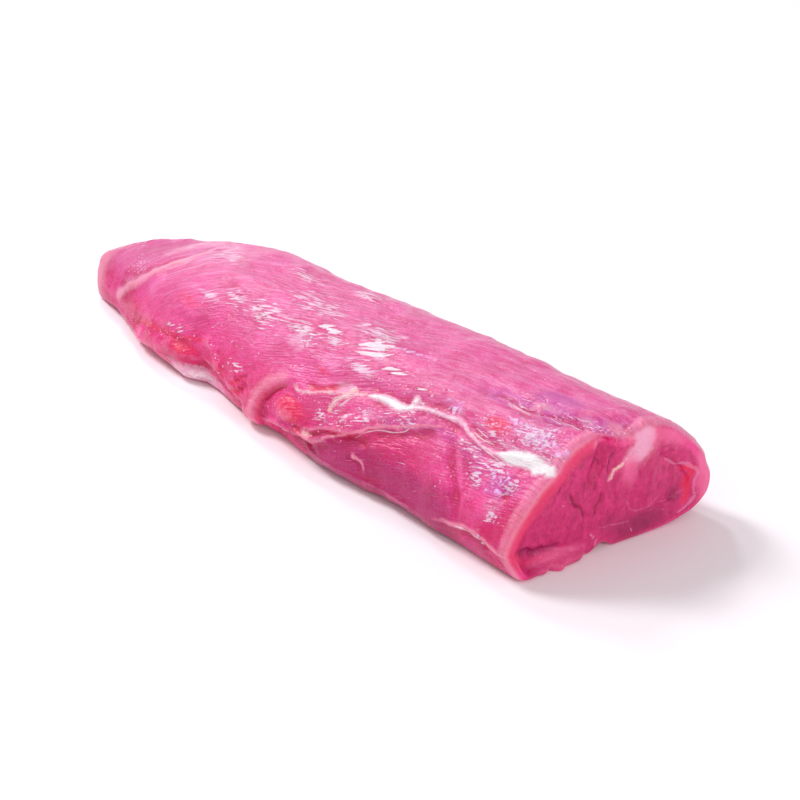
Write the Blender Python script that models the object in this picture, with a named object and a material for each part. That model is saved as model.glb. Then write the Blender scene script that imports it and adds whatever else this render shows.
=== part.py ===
"""Raw pork tenderloin, trimmed, lying on its flat underside: thin tail at -X, thick end cut square at +X.

The muscle is a loft of cross sections. Its folds, laps and creases are laid over that form as relief, each
along a line given by its distance from the tail and its distance round the girth from the low front side.
Lengths are in millimetres until the mesh is made. The origin is under the middle of the finished piece.
"""

import bmesh
import bpy
import numpy as np

MM = 0.001

# Overall form: the tail tip and the cut are this far along the muscle, and the cut leans by this angle
TAIL_X = -149.5
CUT_X = 79.0
CUT_ANGLE = np.radians(10.0)
LEAN_FROM = -40.0
AXIS_Y = -31.0

# Outline seen from above, as (distance along, distance across): the front side is low, the back is high
FRONT = ((TAIL_X, -13), (-147, -15.5), (-141, -17.5), (-131, -19), (-113, -24), (-90, -28.6), (-80, -29.2),
         (-69, -26.4), (-60, -27.7), (-46, -29.5), (-30, -29.8), (-8, -32), (12, -30.2), (28, -28.6),
         (50, -29.6), (CUT_X, -29.6))
BACK = ((TAIL_X, -9), (-148.5, -1), (-145.5, 7), (-138, 17), (-127, 25), (-110, 31), (-85, 33.5),
        (-45, 33.5), (-10, 36.5), (35, 38), (CUT_X, 43.8))

# Height of the top, and how far across it runs flat, from the front crest to the back crest
TOP = ((TAIL_X, 10), (-148, 16), (-142, 19), (-130, 21.6), (-110, 26.2), (-80, 32.3), (-45, 33.6),
       (-10, 36), (30, 37.5), (CUT_X, 38.5))
FRONT_CREST = ((TAIL_X, -11.5), (-143, -9), (-130, -6), (-100, -4), (-40, -4), (CUT_X, -2))
BACK_CREST = ((TAIL_X, -11.5), (-143, -3), (-130, 5), (-100, 10), (-40, 13), (CUT_X, 18))

# Height of the widest spot of each side, and how far in its foot turns before it meets the board
FRONT_SIDE = ((TAIL_X, 4), (-140, 5), (-100, 6), (CUT_X, 6))
BACK_SIDE = ((TAIL_X, 4), (-140, 6), (-100, 9), (CUT_X, 12))
FRONT_FOOT = ((TAIL_X, 1), (-130, 7), (CUT_X, 7))
BACK_FOOT = ((TAIL_X, 1), (-130, 14), (CUT_X, 27))

# Fullness of each quarter of the section: 2 is an ellipse, less is a slope, more is a box
FRONT_FULL = ((TAIL_X, 2.0), (-100, 1.7), (0, 1.55), (CUT_X, 1.5))
BACK_FULL = ((TAIL_X, 2.0), (-100, 1.9), (30, 1.8), (CUT_X, 1.55))
BACK_FOOT_FULL = 2.8
FRONT_FOOT_FULL = 2.2

# Lines of the folds, as (distance along, distance round from the widest spot of the front, upwards)
VALLEY = ((-5, 42.5), (34, 43.2), (50, 45), (62, 47), (70, 50.5), (80, 57))
SEAM = ((-30, 20.5), (-16, 21), (-3, 25), (14, 26), (30, 29.5), (38, 30.7), (46, 29.2), (56, 27), (80, 31))
LAP = ((-4, 5), (7, 11), (17, 16.8), (29, 22.5), (39, 26.8))
LIP = ((-20, 20), (-28.5, 15.7), (-34.2, 11), (-37.2, 6), (-38, 1), (-38, -6))
TORN_EDGE = ((-34, -1), (-27.8, 0), (-20, 0.8), (-13, 2.1), (-6, 3.6), (2, 7.5))
UNDERCUT = ((-76, 3), (-66, 4.6), (-58, 3.4), (-52, 1.8), (-42, 0))
TAIL_RIDGE = ((-131, 2), (-123.4, 8.3), (-117.5, 14), (-111.5, 22), (-106, 31), (-104, 43.5), (-97, 56))
TAIL_CREASE = ((-118, 1), (-110, 3.4), (-97, 6.4), (-87.5, 7.9), (-79, 9), (-70, 10.5))
SHOULDER = ((-72, 12), (-67, 9.5), (-62, 7), (-57, 4.5))
LONG_CREASE = ((38.5, 28), (43.0, 23.5), (46.0, 18.5), (51.0, 13.0), (55.5, 7.0), (58.0, 1.4))
SHORT_CREASE = ((45.5, 27.5), (50.5, 22.5), (54.0, 17.5), (60.0, 11.0))
BACK_FURROW = ((-95, 104), (-60, 98), (-20, 99), (15, 96), (45, 92))
BACK_SEAM = ((-40, 73), (-5, 77), (30, 80), (62, 84))
SKIN_EDGE = ((44, -0.5), (53, 1.6), (62, 3.6), (68, 3.4), (74, 2.5), (82, 1.5))

# Folds: the line, the humps across it as (height, place above the line, reach), the shares of the line over which
# the fold comes in and goes out (0 where it runs on past the end), and the share that it skips first
FOLDS = (
    (VALLEY, ((0.9, -9.5, 7.0), (-2.3, 0.0, 8.0)), 0.9, 0.0, 0.0),
    (SEAM, ((-1.1, 0.0, 5.0),), 0.2, 0.0, 0.0),
    (SEAM, ((0.7, 0.0, 1.7),), 0.1, 0.1, 0.3),
    (LAP, ((0.9, 2.5, 5.0), (-0.7, -2.5, 3.5), (0.3, 0.0, 1.0)), 0.2, 0.2, 0.0),
    (TORN_EDGE, ((0.6, 1.5, 2.5),), 0.2, 0.3, 0.0),
    (TAIL_RIDGE, ((0.7, 0.0, 3.0), (-0.6, 4.0, 3.5)), 0.1, 0.5, 0.0),
    (TAIL_CREASE, ((1.1, -5.0, 4.5),), 0.2, 0.35, 0.0),
    (TAIL_CREASE, ((-0.9, 0.0, 2.6),), 0.2, 0.2, 0.0),
    (SHOULDER, ((0.8, 0.0, 3.0),), 0.25, 0.25, 0.0),
    (LONG_CREASE, ((-1.0, 0.0, 3.0),), 0.2, 0.3, 0.0),
    (SHORT_CREASE, ((-0.5, 0.0, 2.2),), 0.3, 0.5, 0.0),
    (BACK_FURROW, ((0.7, -6.0, 6.0), (-1.2, 0.0, 5.0)), 0.3, 0.3, 0.0),
    (BACK_SEAM, ((0.5, 5.0, 5.0), (-0.8, 0.0, 4.0)), 0.3, 0.25, 0.0),
)

# Ledges, where the surface drops below the line: the line, the drop, how wide it is, and the fades as for a fold
LEDGES = (
    (TORN_EDGE, -2.6, 1.2, 0.15, 0.6, 0.1),
    (UNDERCUT, -1.8, 1.5, 0.2, 0.12, 0.0),
    (SKIN_EDGE, -1.1, 1.0, 0.25, 0.0, 0.0),
)
LEDGE_FOOT = -8.0
LEDGE_FOOT_FADE = 6.0

# The lip, a fold that lies over its left side: its height and half its width, from its start to its lower end
LIP_HIGH = (0.8, 2.4)
LIP_HALF = (2.6, 5.0)
LIP_EDGE = 2.0
LIP_SLOPE = 1.4
LIP_FADES = (0.3, 0.12, 0.0)

# Round swellings and hollows: centre along, centre round, reach along, reach round and height
MOUNDS = (
    (-21.5, 7.0, 10.5, 6.5, 2.2),
    (-79.0, 6.8, 9.0, 3.5, -1.2),
    (67.0, 12.0, 13.0, 11.0, 1.0),
    (70.5, 18.0, 4.0, 2.5, -0.7),
)

# Soft unevenness all over, as height, length along and number of swells round, and what stays plain
SWELLS = ((0.45, 17.0, 9), (0.3, 8.0, 20))
FOOT_PLAIN = 2.5
TIP_PLAIN = 4.0

# The slip of fat under the tail
SLIP_X = -72.0
SLIP_REACH = 11.0
SLIP_OUT = 1.6
SLIP_THICK = 2.6
SLIP_EDGE = 1.2
SLIP_FROM = -12.0
SLIP_TO = 3.0

# The loose foot and the notch under the cut
CUT_REACH = 14.0
LOOSE_FOOT_OUT = 2.4
LOOSE_FOOT_RAGGED = 1.2
LOOSE_FOOT_THICK = 2.4
LOOSE_FOOT_FROM = -29.5
LOOSE_FOOT_TO = 0.5
NOTCH_Y = 3.5
NOTCH_REACH = 4.5
NOTCH_HIGH = 2.4
NOTCH_BELOW = 8.0

# The cut: radius of its rim round the girth, the line its middle shrinks to, its sag and its two hollows
RIM = ((0, 3.0), (0.1, 3.6), (0.22, 3.4), (0.29, 2.4), (0.34, 3.6), (0.5, 4.0), (0.6, 3.5), (0.7, 2.0),
       (0.9, 1.5), (1, 3.0))
CUT_MIDDLE_HEIGHT = 17.0
CUT_MIDDLE_WIDE = 0.42
CUT_MIDDLE_HIGH = 0.06
CUT_SAG = 1.0
CUT_SAG_REACH = 6.0
CUT_VALLEY = ((34, 40), (32.5, 31), (30, 25), (28, 19))
CUT_VALLEY_DEEP = 2.6
CUT_VALLEY_REACH = (4.5, 2.5)
CUT_UNEVEN = (0.35, 7.0, 9.0)
END_BAND = 9.0
END_BAND_STEP = 1.0
END_BAND_FROM = 50.0
END_BAND_REACH = 8.0
EDGE = 1.5

# Rows of points: closer where the folds are and near both ends
ROWS = 78
POINTS = 58
ROW_DENSITY = ((TAIL_X, 3.0), (-143, 1.3), (-120, 0.9), (-60, 0.95), (-40, 1.15), (10, 1.15), (40, 1.0),
               (66, 1.2), (CUT_X, 1.7))
POINT_DENSITY = ((0, 1.3), (0.15, 1.25), (0.3, 0.95), (0.5, 0.8), (0.7, 0.5), (0.85, 0.6), (1, 1.3))
RIM_ROWS = 4
CUT_ROWS = 5
FINE = 2000
TRAIL_STEPS = 12
QUARTER_STEPS = 90
SEAM_SHARE = 0.75
TIP_SHRINK = 0.55
TIP_BULGE = 0.9

LEAN_MEAT = (0.79, 0.10, 0.27, 1.0)
WET_ROUGHNESS = 0.35


def along(at, pairs):
    """Smooth curve through (place, value) pairs, which never overshoots them."""
    places, values = np.array(pairs, float).T
    gap = np.diff(places)
    rise = np.diff(values) / gap
    same_way = rise[:-1] * rise[1:] > 0
    before = np.where(same_way, rise[:-1], 1.0)
    after = np.where(same_way, rise[1:], 1.0)
    inner = np.where(same_way, 2 * before * after / (before + after), 0.0)
    slope = np.concatenate([rise[:1], inner, rise[-1:]])
    at = np.clip(at, places[0], places[-1])
    i = np.clip(np.searchsorted(places, at, side="right") - 1, 0, len(gap) - 1)
    s = (at - places[i]) / gap[i]
    from_values = values[i] * (1 + 2 * s) * (1 - s) ** 2 + values[i + 1] * s * s * (3 - 2 * s)
    from_slopes = slope[i] * s * (1 - s) ** 2 - slope[i + 1] * s * s * (1 - s)
    return from_values + gap[i] * from_slopes


def ease(q):
    """0 up to q = 0, 1 from q = 1, and smooth between."""
    q = np.clip(q, 0, 1)
    return q * q * (3 - 2 * q)


def hump(q):
    """1 at q = 0, falling smoothly to 0 at -1 and 1."""
    return np.clip(1 - q * q, 0, 1) ** 2


def uneven(seed, u, v):
    """Smooth random height from -1 to 1, with one swell to each unit of u and v."""
    size = 64
    table = np.random.default_rng(seed).uniform(-1, 1, (size, size))
    i, j = np.floor(u).astype(int), np.floor(v).astype(int)
    s, t = ease(u - i), ease(v - j)
    i0, j0, i1, j1 = i % size, j % size, (i + 1) % size, (j + 1) % size
    low = table[i0, j0] * (1 - s) + table[i1, j0] * s
    high = table[i0, j1] * (1 - s) + table[i1, j1] * s
    return low * (1 - t) + high * t


def spread(count, density):
    """Places over the whole range of the (place, density) pairs, closer where the density is higher."""
    fine = np.linspace(density[0][0], density[-1][0], FINE)
    total = np.cumsum(along(fine, density))
    return np.interp(np.linspace(total[0], total[-1], count), total, fine)


def trail(points):
    """A fold's line as many short steps on one smooth curve."""
    p = np.array(points, float)
    run = np.concatenate([[0], np.cumsum(np.hypot(*np.diff(p, axis=0).T))])
    at = np.linspace(0, run[-1], TRAIL_STEPS * len(p))
    return np.stack([along(at, np.stack([run, p[:, k]], 1)) for k in (0, 1)], 1)


def beside(x, around, line):
    """Share of the line at its nearest spot, 0 to 1, and the distance from it, positive on its upper side."""
    share, off = np.zeros(x.shape), np.full(x.shape, np.inf)
    curve = trail(line)
    steps = len(curve) - 1
    for k in range(steps):
        (x0, a0), (dx, da) = curve[k], curve[k + 1] - curve[k]
        t = np.clip(((x - x0) * dx + (around - a0) * da) / (dx * dx + da * da), 0, 1)
        ox, oa = x - x0 - t * dx, around - a0 - t * da
        distance = np.hypot(ox, oa)
        nearer = distance < np.abs(off)
        off = np.where(nearer, distance * np.where(dx * oa - da * ox < 0, -1, 1), off)
        share = np.where(nearer, (k + t) / steps, share)
    return share, off


def ends(share, start, stop, skip):
    """Brings a fold in over a first share of its line, after what it skips, and lets it out over its last."""
    out = ease((1 - share) / stop) if stop else 1.0
    return ease((share - skip) / start) * out


def fold(x, around, line, humps, *fades):
    """A fold along its line, made of humps and hollows side by side."""
    share, off = beside(x, around, line)
    return sum(height * hump((off - place) / reach) for height, place, reach in humps) * ends(share, *fades)


def ledge(x, around, line, drop, width, *fades):
    """A drop below the line, which ends again before the underside."""
    share, off = beside(x, around, line)
    return drop * ease(-off / width) * ends(share, *fades) * ease((around - LEDGE_FOOT) / LEDGE_FOOT_FADE)


def lip(x, around):
    """The flap folded down over the front side: steep at its left edge, sloping off to the right."""
    share, off = beside(x, around, LIP)
    half = LIP_HALF[0] + (LIP_HALF[1] - LIP_HALF[0]) * share
    high = LIP_HIGH[0] + (LIP_HIGH[1] - LIP_HIGH[0]) * share
    across = ease((off + half) / LIP_EDGE) * ease((half - off) / (LIP_SLOPE * half))
    return high * across * ends(share, *LIP_FADES)


def mound(x, around, middle_x, middle_a, reach_x, reach_a, height):
    """A round swelling, or a hollow where its height is negative."""
    return height * hump(np.hypot((x - middle_x) / reach_x, (around - middle_a) / reach_a))


def quarter(fullness):
    """Cosine and sine like pair that runs round one quarter of a section."""
    angle = np.linspace(0, np.pi / 2, QUARTER_STEPS)
    return np.cos(angle) ** (2 / fullness), np.sin(angle) ** (2 / fullness)


def section(x):
    """Closed outline (across, up) from the widest spot of the front, over the top to the back, and under."""
    front, back, top = along(x, FRONT), along(x, BACK), along(x, TOP)
    front_crest, back_crest = along(x, FRONT_CREST), along(x, BACK_CREST)
    front_side, back_side = along(x, FRONT_SIDE), along(x, BACK_SIDE)
    front_foot, back_foot = along(x, FRONT_FOOT), along(x, BACK_FOOT)
    c, s = quarter(along(x, FRONT_FULL))
    upper_front = np.stack([front_crest - c * (front_crest - front), front_side + s * (top - front_side)], 1)
    c, s = quarter(along(x, BACK_FULL))
    upper_back = np.stack([back_crest + c * (back - back_crest), back_side + s * (top - back_side)], 1)
    c, s = quarter(BACK_FOOT_FULL)
    lower_back = np.stack([back - back_foot * (1 - c), back_side * (1 - s)], 1)
    c, s = quarter(FRONT_FOOT_FULL)
    lower_front = np.stack([front + front_foot * (1 - c), front_side * (1 - s)], 1)
    return np.concatenate([upper_front, upper_back[::-1], lower_back[1:], lower_front[::-1]])


def plain_form(stations, shares):
    """Rows of points on the smooth loft, and each point's distance along and round it."""
    points = np.empty((len(stations), len(shares), 3))
    girth = np.empty((len(stations), 1))
    for row, x in enumerate(stations):
        outline = section(x)
        run = np.concatenate([[0], np.cumsum(np.hypot(*np.diff(outline, axis=0).T))])
        girth[row] = run[-1]
        points[row, :, 1] = np.interp(shares * run[-1], run, outline[:, 0])
        points[row, :, 2] = np.interp(shares * run[-1], run, outline[:, 1])
        lean = along(x, ((TAIL_X, 0), (LEAN_FROM, 0), (CUT_X, np.tan(CUT_ANGLE))))
        points[row, :, 0] = x + lean * (points[row, :, 1] - AXIS_Y)
    far_side = shares > SEAM_SHARE
    return points, np.repeat(stations[:, None], len(shares), 1), np.where(far_side, shares - 1, shares) * girth


def relief(x, around, shares):
    """How far every fold, ledge and swelling stands out from the plain form, or is sunk into it."""
    height = lip(x, around)
    height = height + sum(fold(x, around, *each) for each in FOLDS)
    height = height + sum(ledge(x, around, *each) for each in LEDGES)
    height = height + sum(mound(x, around, *each) for each in MOUNDS)
    for seed, (high, length, count) in enumerate(SWELLS):
        height = height + high * uneven(seed, x / length, shares * count + 0 * x)
    return height


def folded(points, x, around, shares):
    """The loft with its relief pushed out square to it. The underside keeps flat on the board."""
    round_way = np.roll(points, -1, 1) - np.roll(points, 1, 1)
    normal = np.cross(np.gradient(points, axis=0), round_way)
    normal /= np.linalg.norm(normal, axis=-1, keepdims=True)
    height = relief(x, around, shares) * ease(points[..., 2] / FOOT_PLAIN) * ease((x - TAIL_X) / TIP_PLAIN)
    points = points + normal * height[..., None]
    points[..., 2] = np.maximum(points[..., 2], 0)
    slip = ease((SLIP_THICK - points[..., 2]) / SLIP_EDGE) * hump((x - SLIP_X) / SLIP_REACH)
    points[..., 1] -= SLIP_OUT * slip * (around < SLIP_TO) * ease((around - SLIP_FROM) / SLIP_REACH)
    near_cut = ease((x - CUT_X + CUT_REACH) / CUT_REACH)
    notch = hump((points[..., 1] - NOTCH_Y) / NOTCH_REACH) * (points[..., 2] < NOTCH_BELOW)
    points[..., 2] += near_cut * NOTCH_HIGH * notch
    ragged = LOOSE_FOOT_RAGGED * uneven(len(SWELLS), around / LOOSE_FOOT_THICK, 0 * x)
    points[..., 0] += near_cut * (loose_foot(around) * (LOOSE_FOOT_OUT + ragged) - along(shares, RIM))
    return points


def loose_foot(around):
    """1 where the torn layer under the cut sticks out from it, 0 elsewhere round the girth."""
    return ease((around - LOOSE_FOOT_FROM) / LOOSE_FOOT_THICK) * ease((LOOSE_FOOT_TO - around) / CUT_SAG_REACH)


def cut_rows(outline, around, shares):
    """Rows of points from the outline of the cut over its rim and in to a short line in its middle."""
    facing = np.array([np.cos(CUT_ANGLE), -np.sin(CUT_ANGLE), 0])
    across = np.array([np.sin(CUT_ANGLE), np.cos(CUT_ANGLE), 0])
    s, h = outline @ across, outline[:, 2]
    rim = along(shares, RIM)
    middle = np.array([(s.max() + s.min()) / 2, CUT_MIDDLE_HEIGHT])
    inner = middle + (np.stack([s, h], 1) - middle) * (CUT_MIDDLE_WIDE, CUT_MIDDLE_HIGH)
    reach = np.hypot(inner[:, 0] - s, inner[:, 1] - h)
    turn = np.linspace(0, np.pi / 2, RIM_ROWS + 1)[1:, None]
    inward = np.linspace(0, 1, CUT_ROWS + 1)[1:, None]
    depth = np.concatenate([rim * (1 - np.cos(turn)), rim + (reach - rim) * inward])
    plane = np.cos(CUT_ANGLE) * CUT_X - np.sin(CUT_ANGLE) * AXIS_Y
    sunk_rim = np.concatenate([rim * (1 - np.sin(turn)), 0 * rim * inward])
    s_at = s + (inner[:, 0] - s) * depth / reach
    h_at = h + (inner[:, 1] - h) * depth / reach
    from_left = s_at - s.min()
    share, off = beside(from_left, h_at, CUT_VALLEY)
    standing = (outline @ facing + rim - plane) * (1 - ease((depth - LOOSE_FOOT_THICK) / EDGE))
    out = plane + standing - sunk_rim - CUT_SAG * ease((depth - rim) / CUT_SAG_REACH)
    valley = hump(off / (CUT_VALLEY_REACH[0] + (CUT_VALLEY_REACH[1] - CUT_VALLEY_REACH[0]) * share))
    out = out - CUT_VALLEY_DEEP * valley * ease(2 - 2 * share) * ease(depth / EDGE)
    end_band = ease((from_left - END_BAND_FROM) / END_BAND_REACH) * ease((depth - END_BAND) / EDGE)
    out = out - END_BAND_STEP * end_band
    high, wide, tall = CUT_UNEVEN
    out = out + high * uneven(len(SWELLS) + 1, s_at / wide, h_at / tall) * ease((depth - rim) / CUT_SAG_REACH)
    points = s_at[..., None] * across + out[..., None] * facing
    points[..., 2] = h_at
    return points


def tenderloin_rows():
    """All rows of points from the tail tip to the middle of the cut, in millimetres."""
    shares = spread(POINTS + 1, POINT_DENSITY)[:-1]
    points, x, around = plain_form(spread(ROWS, ROW_DENSITY), shares)
    points = folded(points, x, around, shares)
    tip = points[0].mean(0)
    tip_row = tip + (points[0] - tip) * TIP_SHRINK - np.array([TIP_BULGE, 0, 0])
    rows = np.concatenate([tip_row[None], points, cut_rows(points[-1], around[-1], shares)])
    low, high = rows.min((0, 1)), rows.max((0, 1))
    return rows - np.array([(low[0] + high[0]) / 2, (low[1] + high[1]) / 2, 0])


def solid(name, rows):
    """One closed mesh object: bands of faces between the rows, and a filled face at both ends."""
    bm = bmesh.new()
    loops = [[bm.verts.new(point) for point in row * MM] for row in rows]
    for near, far in zip(loops, loops[1:]):
        for k in range(len(near)):
            bm.faces.new((near[k], near[k - 1], far[k - 1], far[k]))
    for loop in (loops[0], loops[-1]):
        bm.faces.new(loop)
    bmesh.ops.triangulate(bm, faces=bm.faces[:], ngon_method="EAR_CLIP")
    bmesh.ops.recalc_face_normals(bm, faces=bm.faces[:])
    mesh = bpy.data.meshes.new(name)
    bm.to_mesh(mesh)
    bm.free()
    mesh.shade_smooth()
    piece = bpy.data.objects.new(name, mesh)
    bpy.context.scene.collection.objects.link(piece)
    return piece


def raw_meat():
    """Lean raw pork under a wet film."""
    material = bpy.data.materials.new("raw lean pork")
    material.use_nodes = True
    shader = material.node_tree.nodes["Principled BSDF"]
    shader.inputs["Base Color"].default_value = LEAN_MEAT
    shader.inputs["Roughness"].default_value = WET_ROUGHNESS
    shader.inputs["Metallic"].default_value = 0.0
    return material


for leftover in list(bpy.data.objects):
    bpy.data.objects.remove(leftover)
tenderloin = solid("tenderloin", tenderloin_rows())
tenderloin.data.materials.append(raw_meat())
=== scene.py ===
"""Looks of a raw pork tenderloin, trimmed, lying on its flat underside: thin tail at -X, cut end at +X.

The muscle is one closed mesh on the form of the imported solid, with the fine folds, fat and fibres that the
solid leaves out. Shapes are worked out in millimetres, and turned to metres when a mesh is made. A place on
the skin is a distance along the muscle, 0 at about two thirds of the way from the tail to the cut, and a
distance round its girth from the widest spot of the low front side.
"""

import bpy
import numpy as np
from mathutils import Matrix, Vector


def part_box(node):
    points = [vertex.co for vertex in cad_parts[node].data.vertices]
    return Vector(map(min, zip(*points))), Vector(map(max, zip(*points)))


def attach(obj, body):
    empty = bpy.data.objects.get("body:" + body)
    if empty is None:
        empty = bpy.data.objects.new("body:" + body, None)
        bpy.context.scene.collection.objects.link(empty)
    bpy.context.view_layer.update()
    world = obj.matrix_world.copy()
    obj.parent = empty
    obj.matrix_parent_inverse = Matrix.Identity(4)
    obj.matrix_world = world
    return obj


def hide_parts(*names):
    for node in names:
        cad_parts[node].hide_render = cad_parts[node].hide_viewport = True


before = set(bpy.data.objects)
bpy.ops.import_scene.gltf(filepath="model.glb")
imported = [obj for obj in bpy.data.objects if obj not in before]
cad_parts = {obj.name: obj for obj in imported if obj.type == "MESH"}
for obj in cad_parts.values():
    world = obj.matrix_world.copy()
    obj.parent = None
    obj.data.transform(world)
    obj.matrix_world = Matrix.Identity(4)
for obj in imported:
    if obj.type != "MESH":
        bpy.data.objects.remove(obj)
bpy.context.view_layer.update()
MM = 0.001


# The tenderloin: one long muscle that is never worked hard, so its meat is fine and soft. The butcher
# pulled the fat and most of the silverskin off it by hand, which left torn edges, and cut the thick end
# straight through. It is a loft of cross sections with every fold, lap and crease pushed out of it or into
# it.

TAIL_X = -149.5
CUT_X = 79.0
CUT_ANGLE = np.radians(10.0)
LEAN_FROM = -40.0
AXIS_Y = -31.0

# Outline from above, height of the top, and where the top starts and ends across, as (along, value)
FRONT = ((TAIL_X, -13), (-147, -15.5), (-141, -17.5), (-131, -19), (-113, -24), (-90, -28.6), (-80, -29.2),
         (-69, -26.4), (-60, -27.7), (-46, -29.5), (-30, -29.8), (-8, -32), (12, -30.2), (28, -28.6),
         (50, -29.6), (CUT_X, -29.6))
BACK = ((TAIL_X, -9), (-148.5, -1), (-145.5, 7), (-138, 17), (-127, 25), (-110, 31), (-85, 33.5),
        (-45, 33.5), (-10, 36.5), (35, 38), (CUT_X, 43.8))
TOP = ((TAIL_X, 10), (-148, 16), (-142, 19), (-130, 21.6), (-110, 26.2), (-80, 32.3), (-45, 33.6),
       (-10, 36), (30, 37.5), (CUT_X, 38.5))
FRONT_CREST = ((TAIL_X, -11.5), (-143, -9), (-130, -6), (-100, -4), (-40, -4), (CUT_X, -2))
BACK_CREST = ((TAIL_X, -11.5), (-143, -3), (-130, 5), (-100, 10), (-40, 13), (CUT_X, 18))

# Height of the widest spot of each side, how far in its foot turns, and how full each quarter is, 2 for round
FRONT_SIDE = ((TAIL_X, 4), (-140, 5), (-100, 6), (CUT_X, 6))
BACK_SIDE = ((TAIL_X, 4), (-140, 6), (-100, 9), (CUT_X, 12))
FRONT_FOOT = ((TAIL_X, 1), (-130, 7), (CUT_X, 7))
BACK_FOOT = ((TAIL_X, 1), (-130, 14), (CUT_X, 27))
FRONT_FULL = ((TAIL_X, 2.0), (-100, 1.7), (0, 1.55), (CUT_X, 1.5))
BACK_FULL = ((TAIL_X, 2.0), (-100, 1.9), (30, 1.8), (CUT_X, 1.55))
BACK_FOOT_FULL = 2.8
FRONT_FOOT_FULL = 2.2

# Lines of the folds and edges, as (along, round)
LINES = {
    "valley": ((-5, 42.5), (34, 43.2), (50, 45), (62, 47), (70, 50.5), (80, 57)),
    "seam": ((-30, 20.5), (-16, 21), (-3, 25), (14, 26), (30, 29.5), (38, 30.7), (46, 29.2), (56, 27),
             (80, 31)),
    "fat": ((-22, 15), (-18.4, 15.2), (-14, 16.5), (-9, 19.3), (-4.5, 20.7), (1, 22.6), (8, 24.9),
            (14, 25.5), (20, 25.1), (26, 27.5), (36, 29.4), (40.5, 30.1), (48, 28.2), (51.3, 27.4),
            (56.4, 27), (60, 27.8), (64, 28.9), (68, 30), (73, 30.3), (76, 29.7), (80, 31)),
    "lap": ((-4, 5), (7, 11), (17, 16.8), (29, 22.5), (39, 26.8)),
    "lip": ((-20, 20), (-28.5, 15.7), (-34.2, 11), (-37.2, 6), (-38, 1), (-38, -6)),
    "lip crease": ((-22, 16), (-28, 11.9), (-32.3, 7.3), (-34.5, 3.6), (-35, -0.6), (-34, -4)),
    "seam crease": ((-19, 16.4), (-14, 17.4), (-9, 19.5), (-5, 22), (0, 25.6)),
    "torn edge": ((-34, -1), (-27.8, 0), (-20, 0.8), (-13, 2.1), (-6, 3.6), (2, 7.5)),
    "torn crease": ((-12, 4.5), (-5, 6.4), (-1.5, 8.5), (3, 9.2), (7, 10), (12, 12)),
    "cheek crease": ((9.5, 6.5), (11, 3.8), (14, 3.2), (16, 0)),
    "undercut": ((-76, 3), (-66, 4.6), (-58, 3.4), (-52, 1.8), (-42, 0)),
    "left crease": ((-52.9, 3.2), (-48.1, 5.5), (-44.6, 9.1), (-42.3, 11)),
    "left crease low": ((-53.4, 0.5), (-45.4, 4), (-41.3, 7.7)),
    "tail ridge": ((-131, 2), (-123.4, 8.3), (-117.5, 14), (-111.5, 22), (-106, 31), (-104, 43.5), (-97, 56)),
    "tail band": ((-119, 25.7), (-119.4, 33.4), (-115.5, 40), (-111, 46), (-106, 56)),
    "tail crease": ((-118, 1), (-110, 3.4), (-97, 6.4), (-87.5, 7.9), (-79, 9), (-70, 10.5)),
    "shoulder": ((-72, 12), (-67, 9.5), (-62, 7), (-57, 4.5)),
    "long crease": ((38.5, 28), (43.0, 23.5), (46.0, 18.5), (51.0, 13.0), (55.5, 7.0), (58.0, 1.4)),
    "short crease": ((45.5, 27.5), (50.5, 22.5), (54.0, 17.5), (60.0, 11.0)),
    "back furrow": ((-95, 104), (-60, 98), (-20, 99), (15, 96), (45, 92)),
    "back seam": ((-40, 73), (-5, 77), (30, 80), (62, 84)),
    "skin edge": ((44, -0.5), (53, 1.6), (62, 3.6), (68, 3.4), (74, 2.5), (82, 1.5)),
    "strands": ((1.1, 25.4), (0.4, 22.3), (-2.8, 18.3), (-4.1, 12.9)),
    "membrane edge": ((40, 42.5), (46.9, 44), (52.7, 42.9), (59, 44.8), (62.2, 47.3), (67.3, 48.4), (79, 47)),
}

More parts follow.
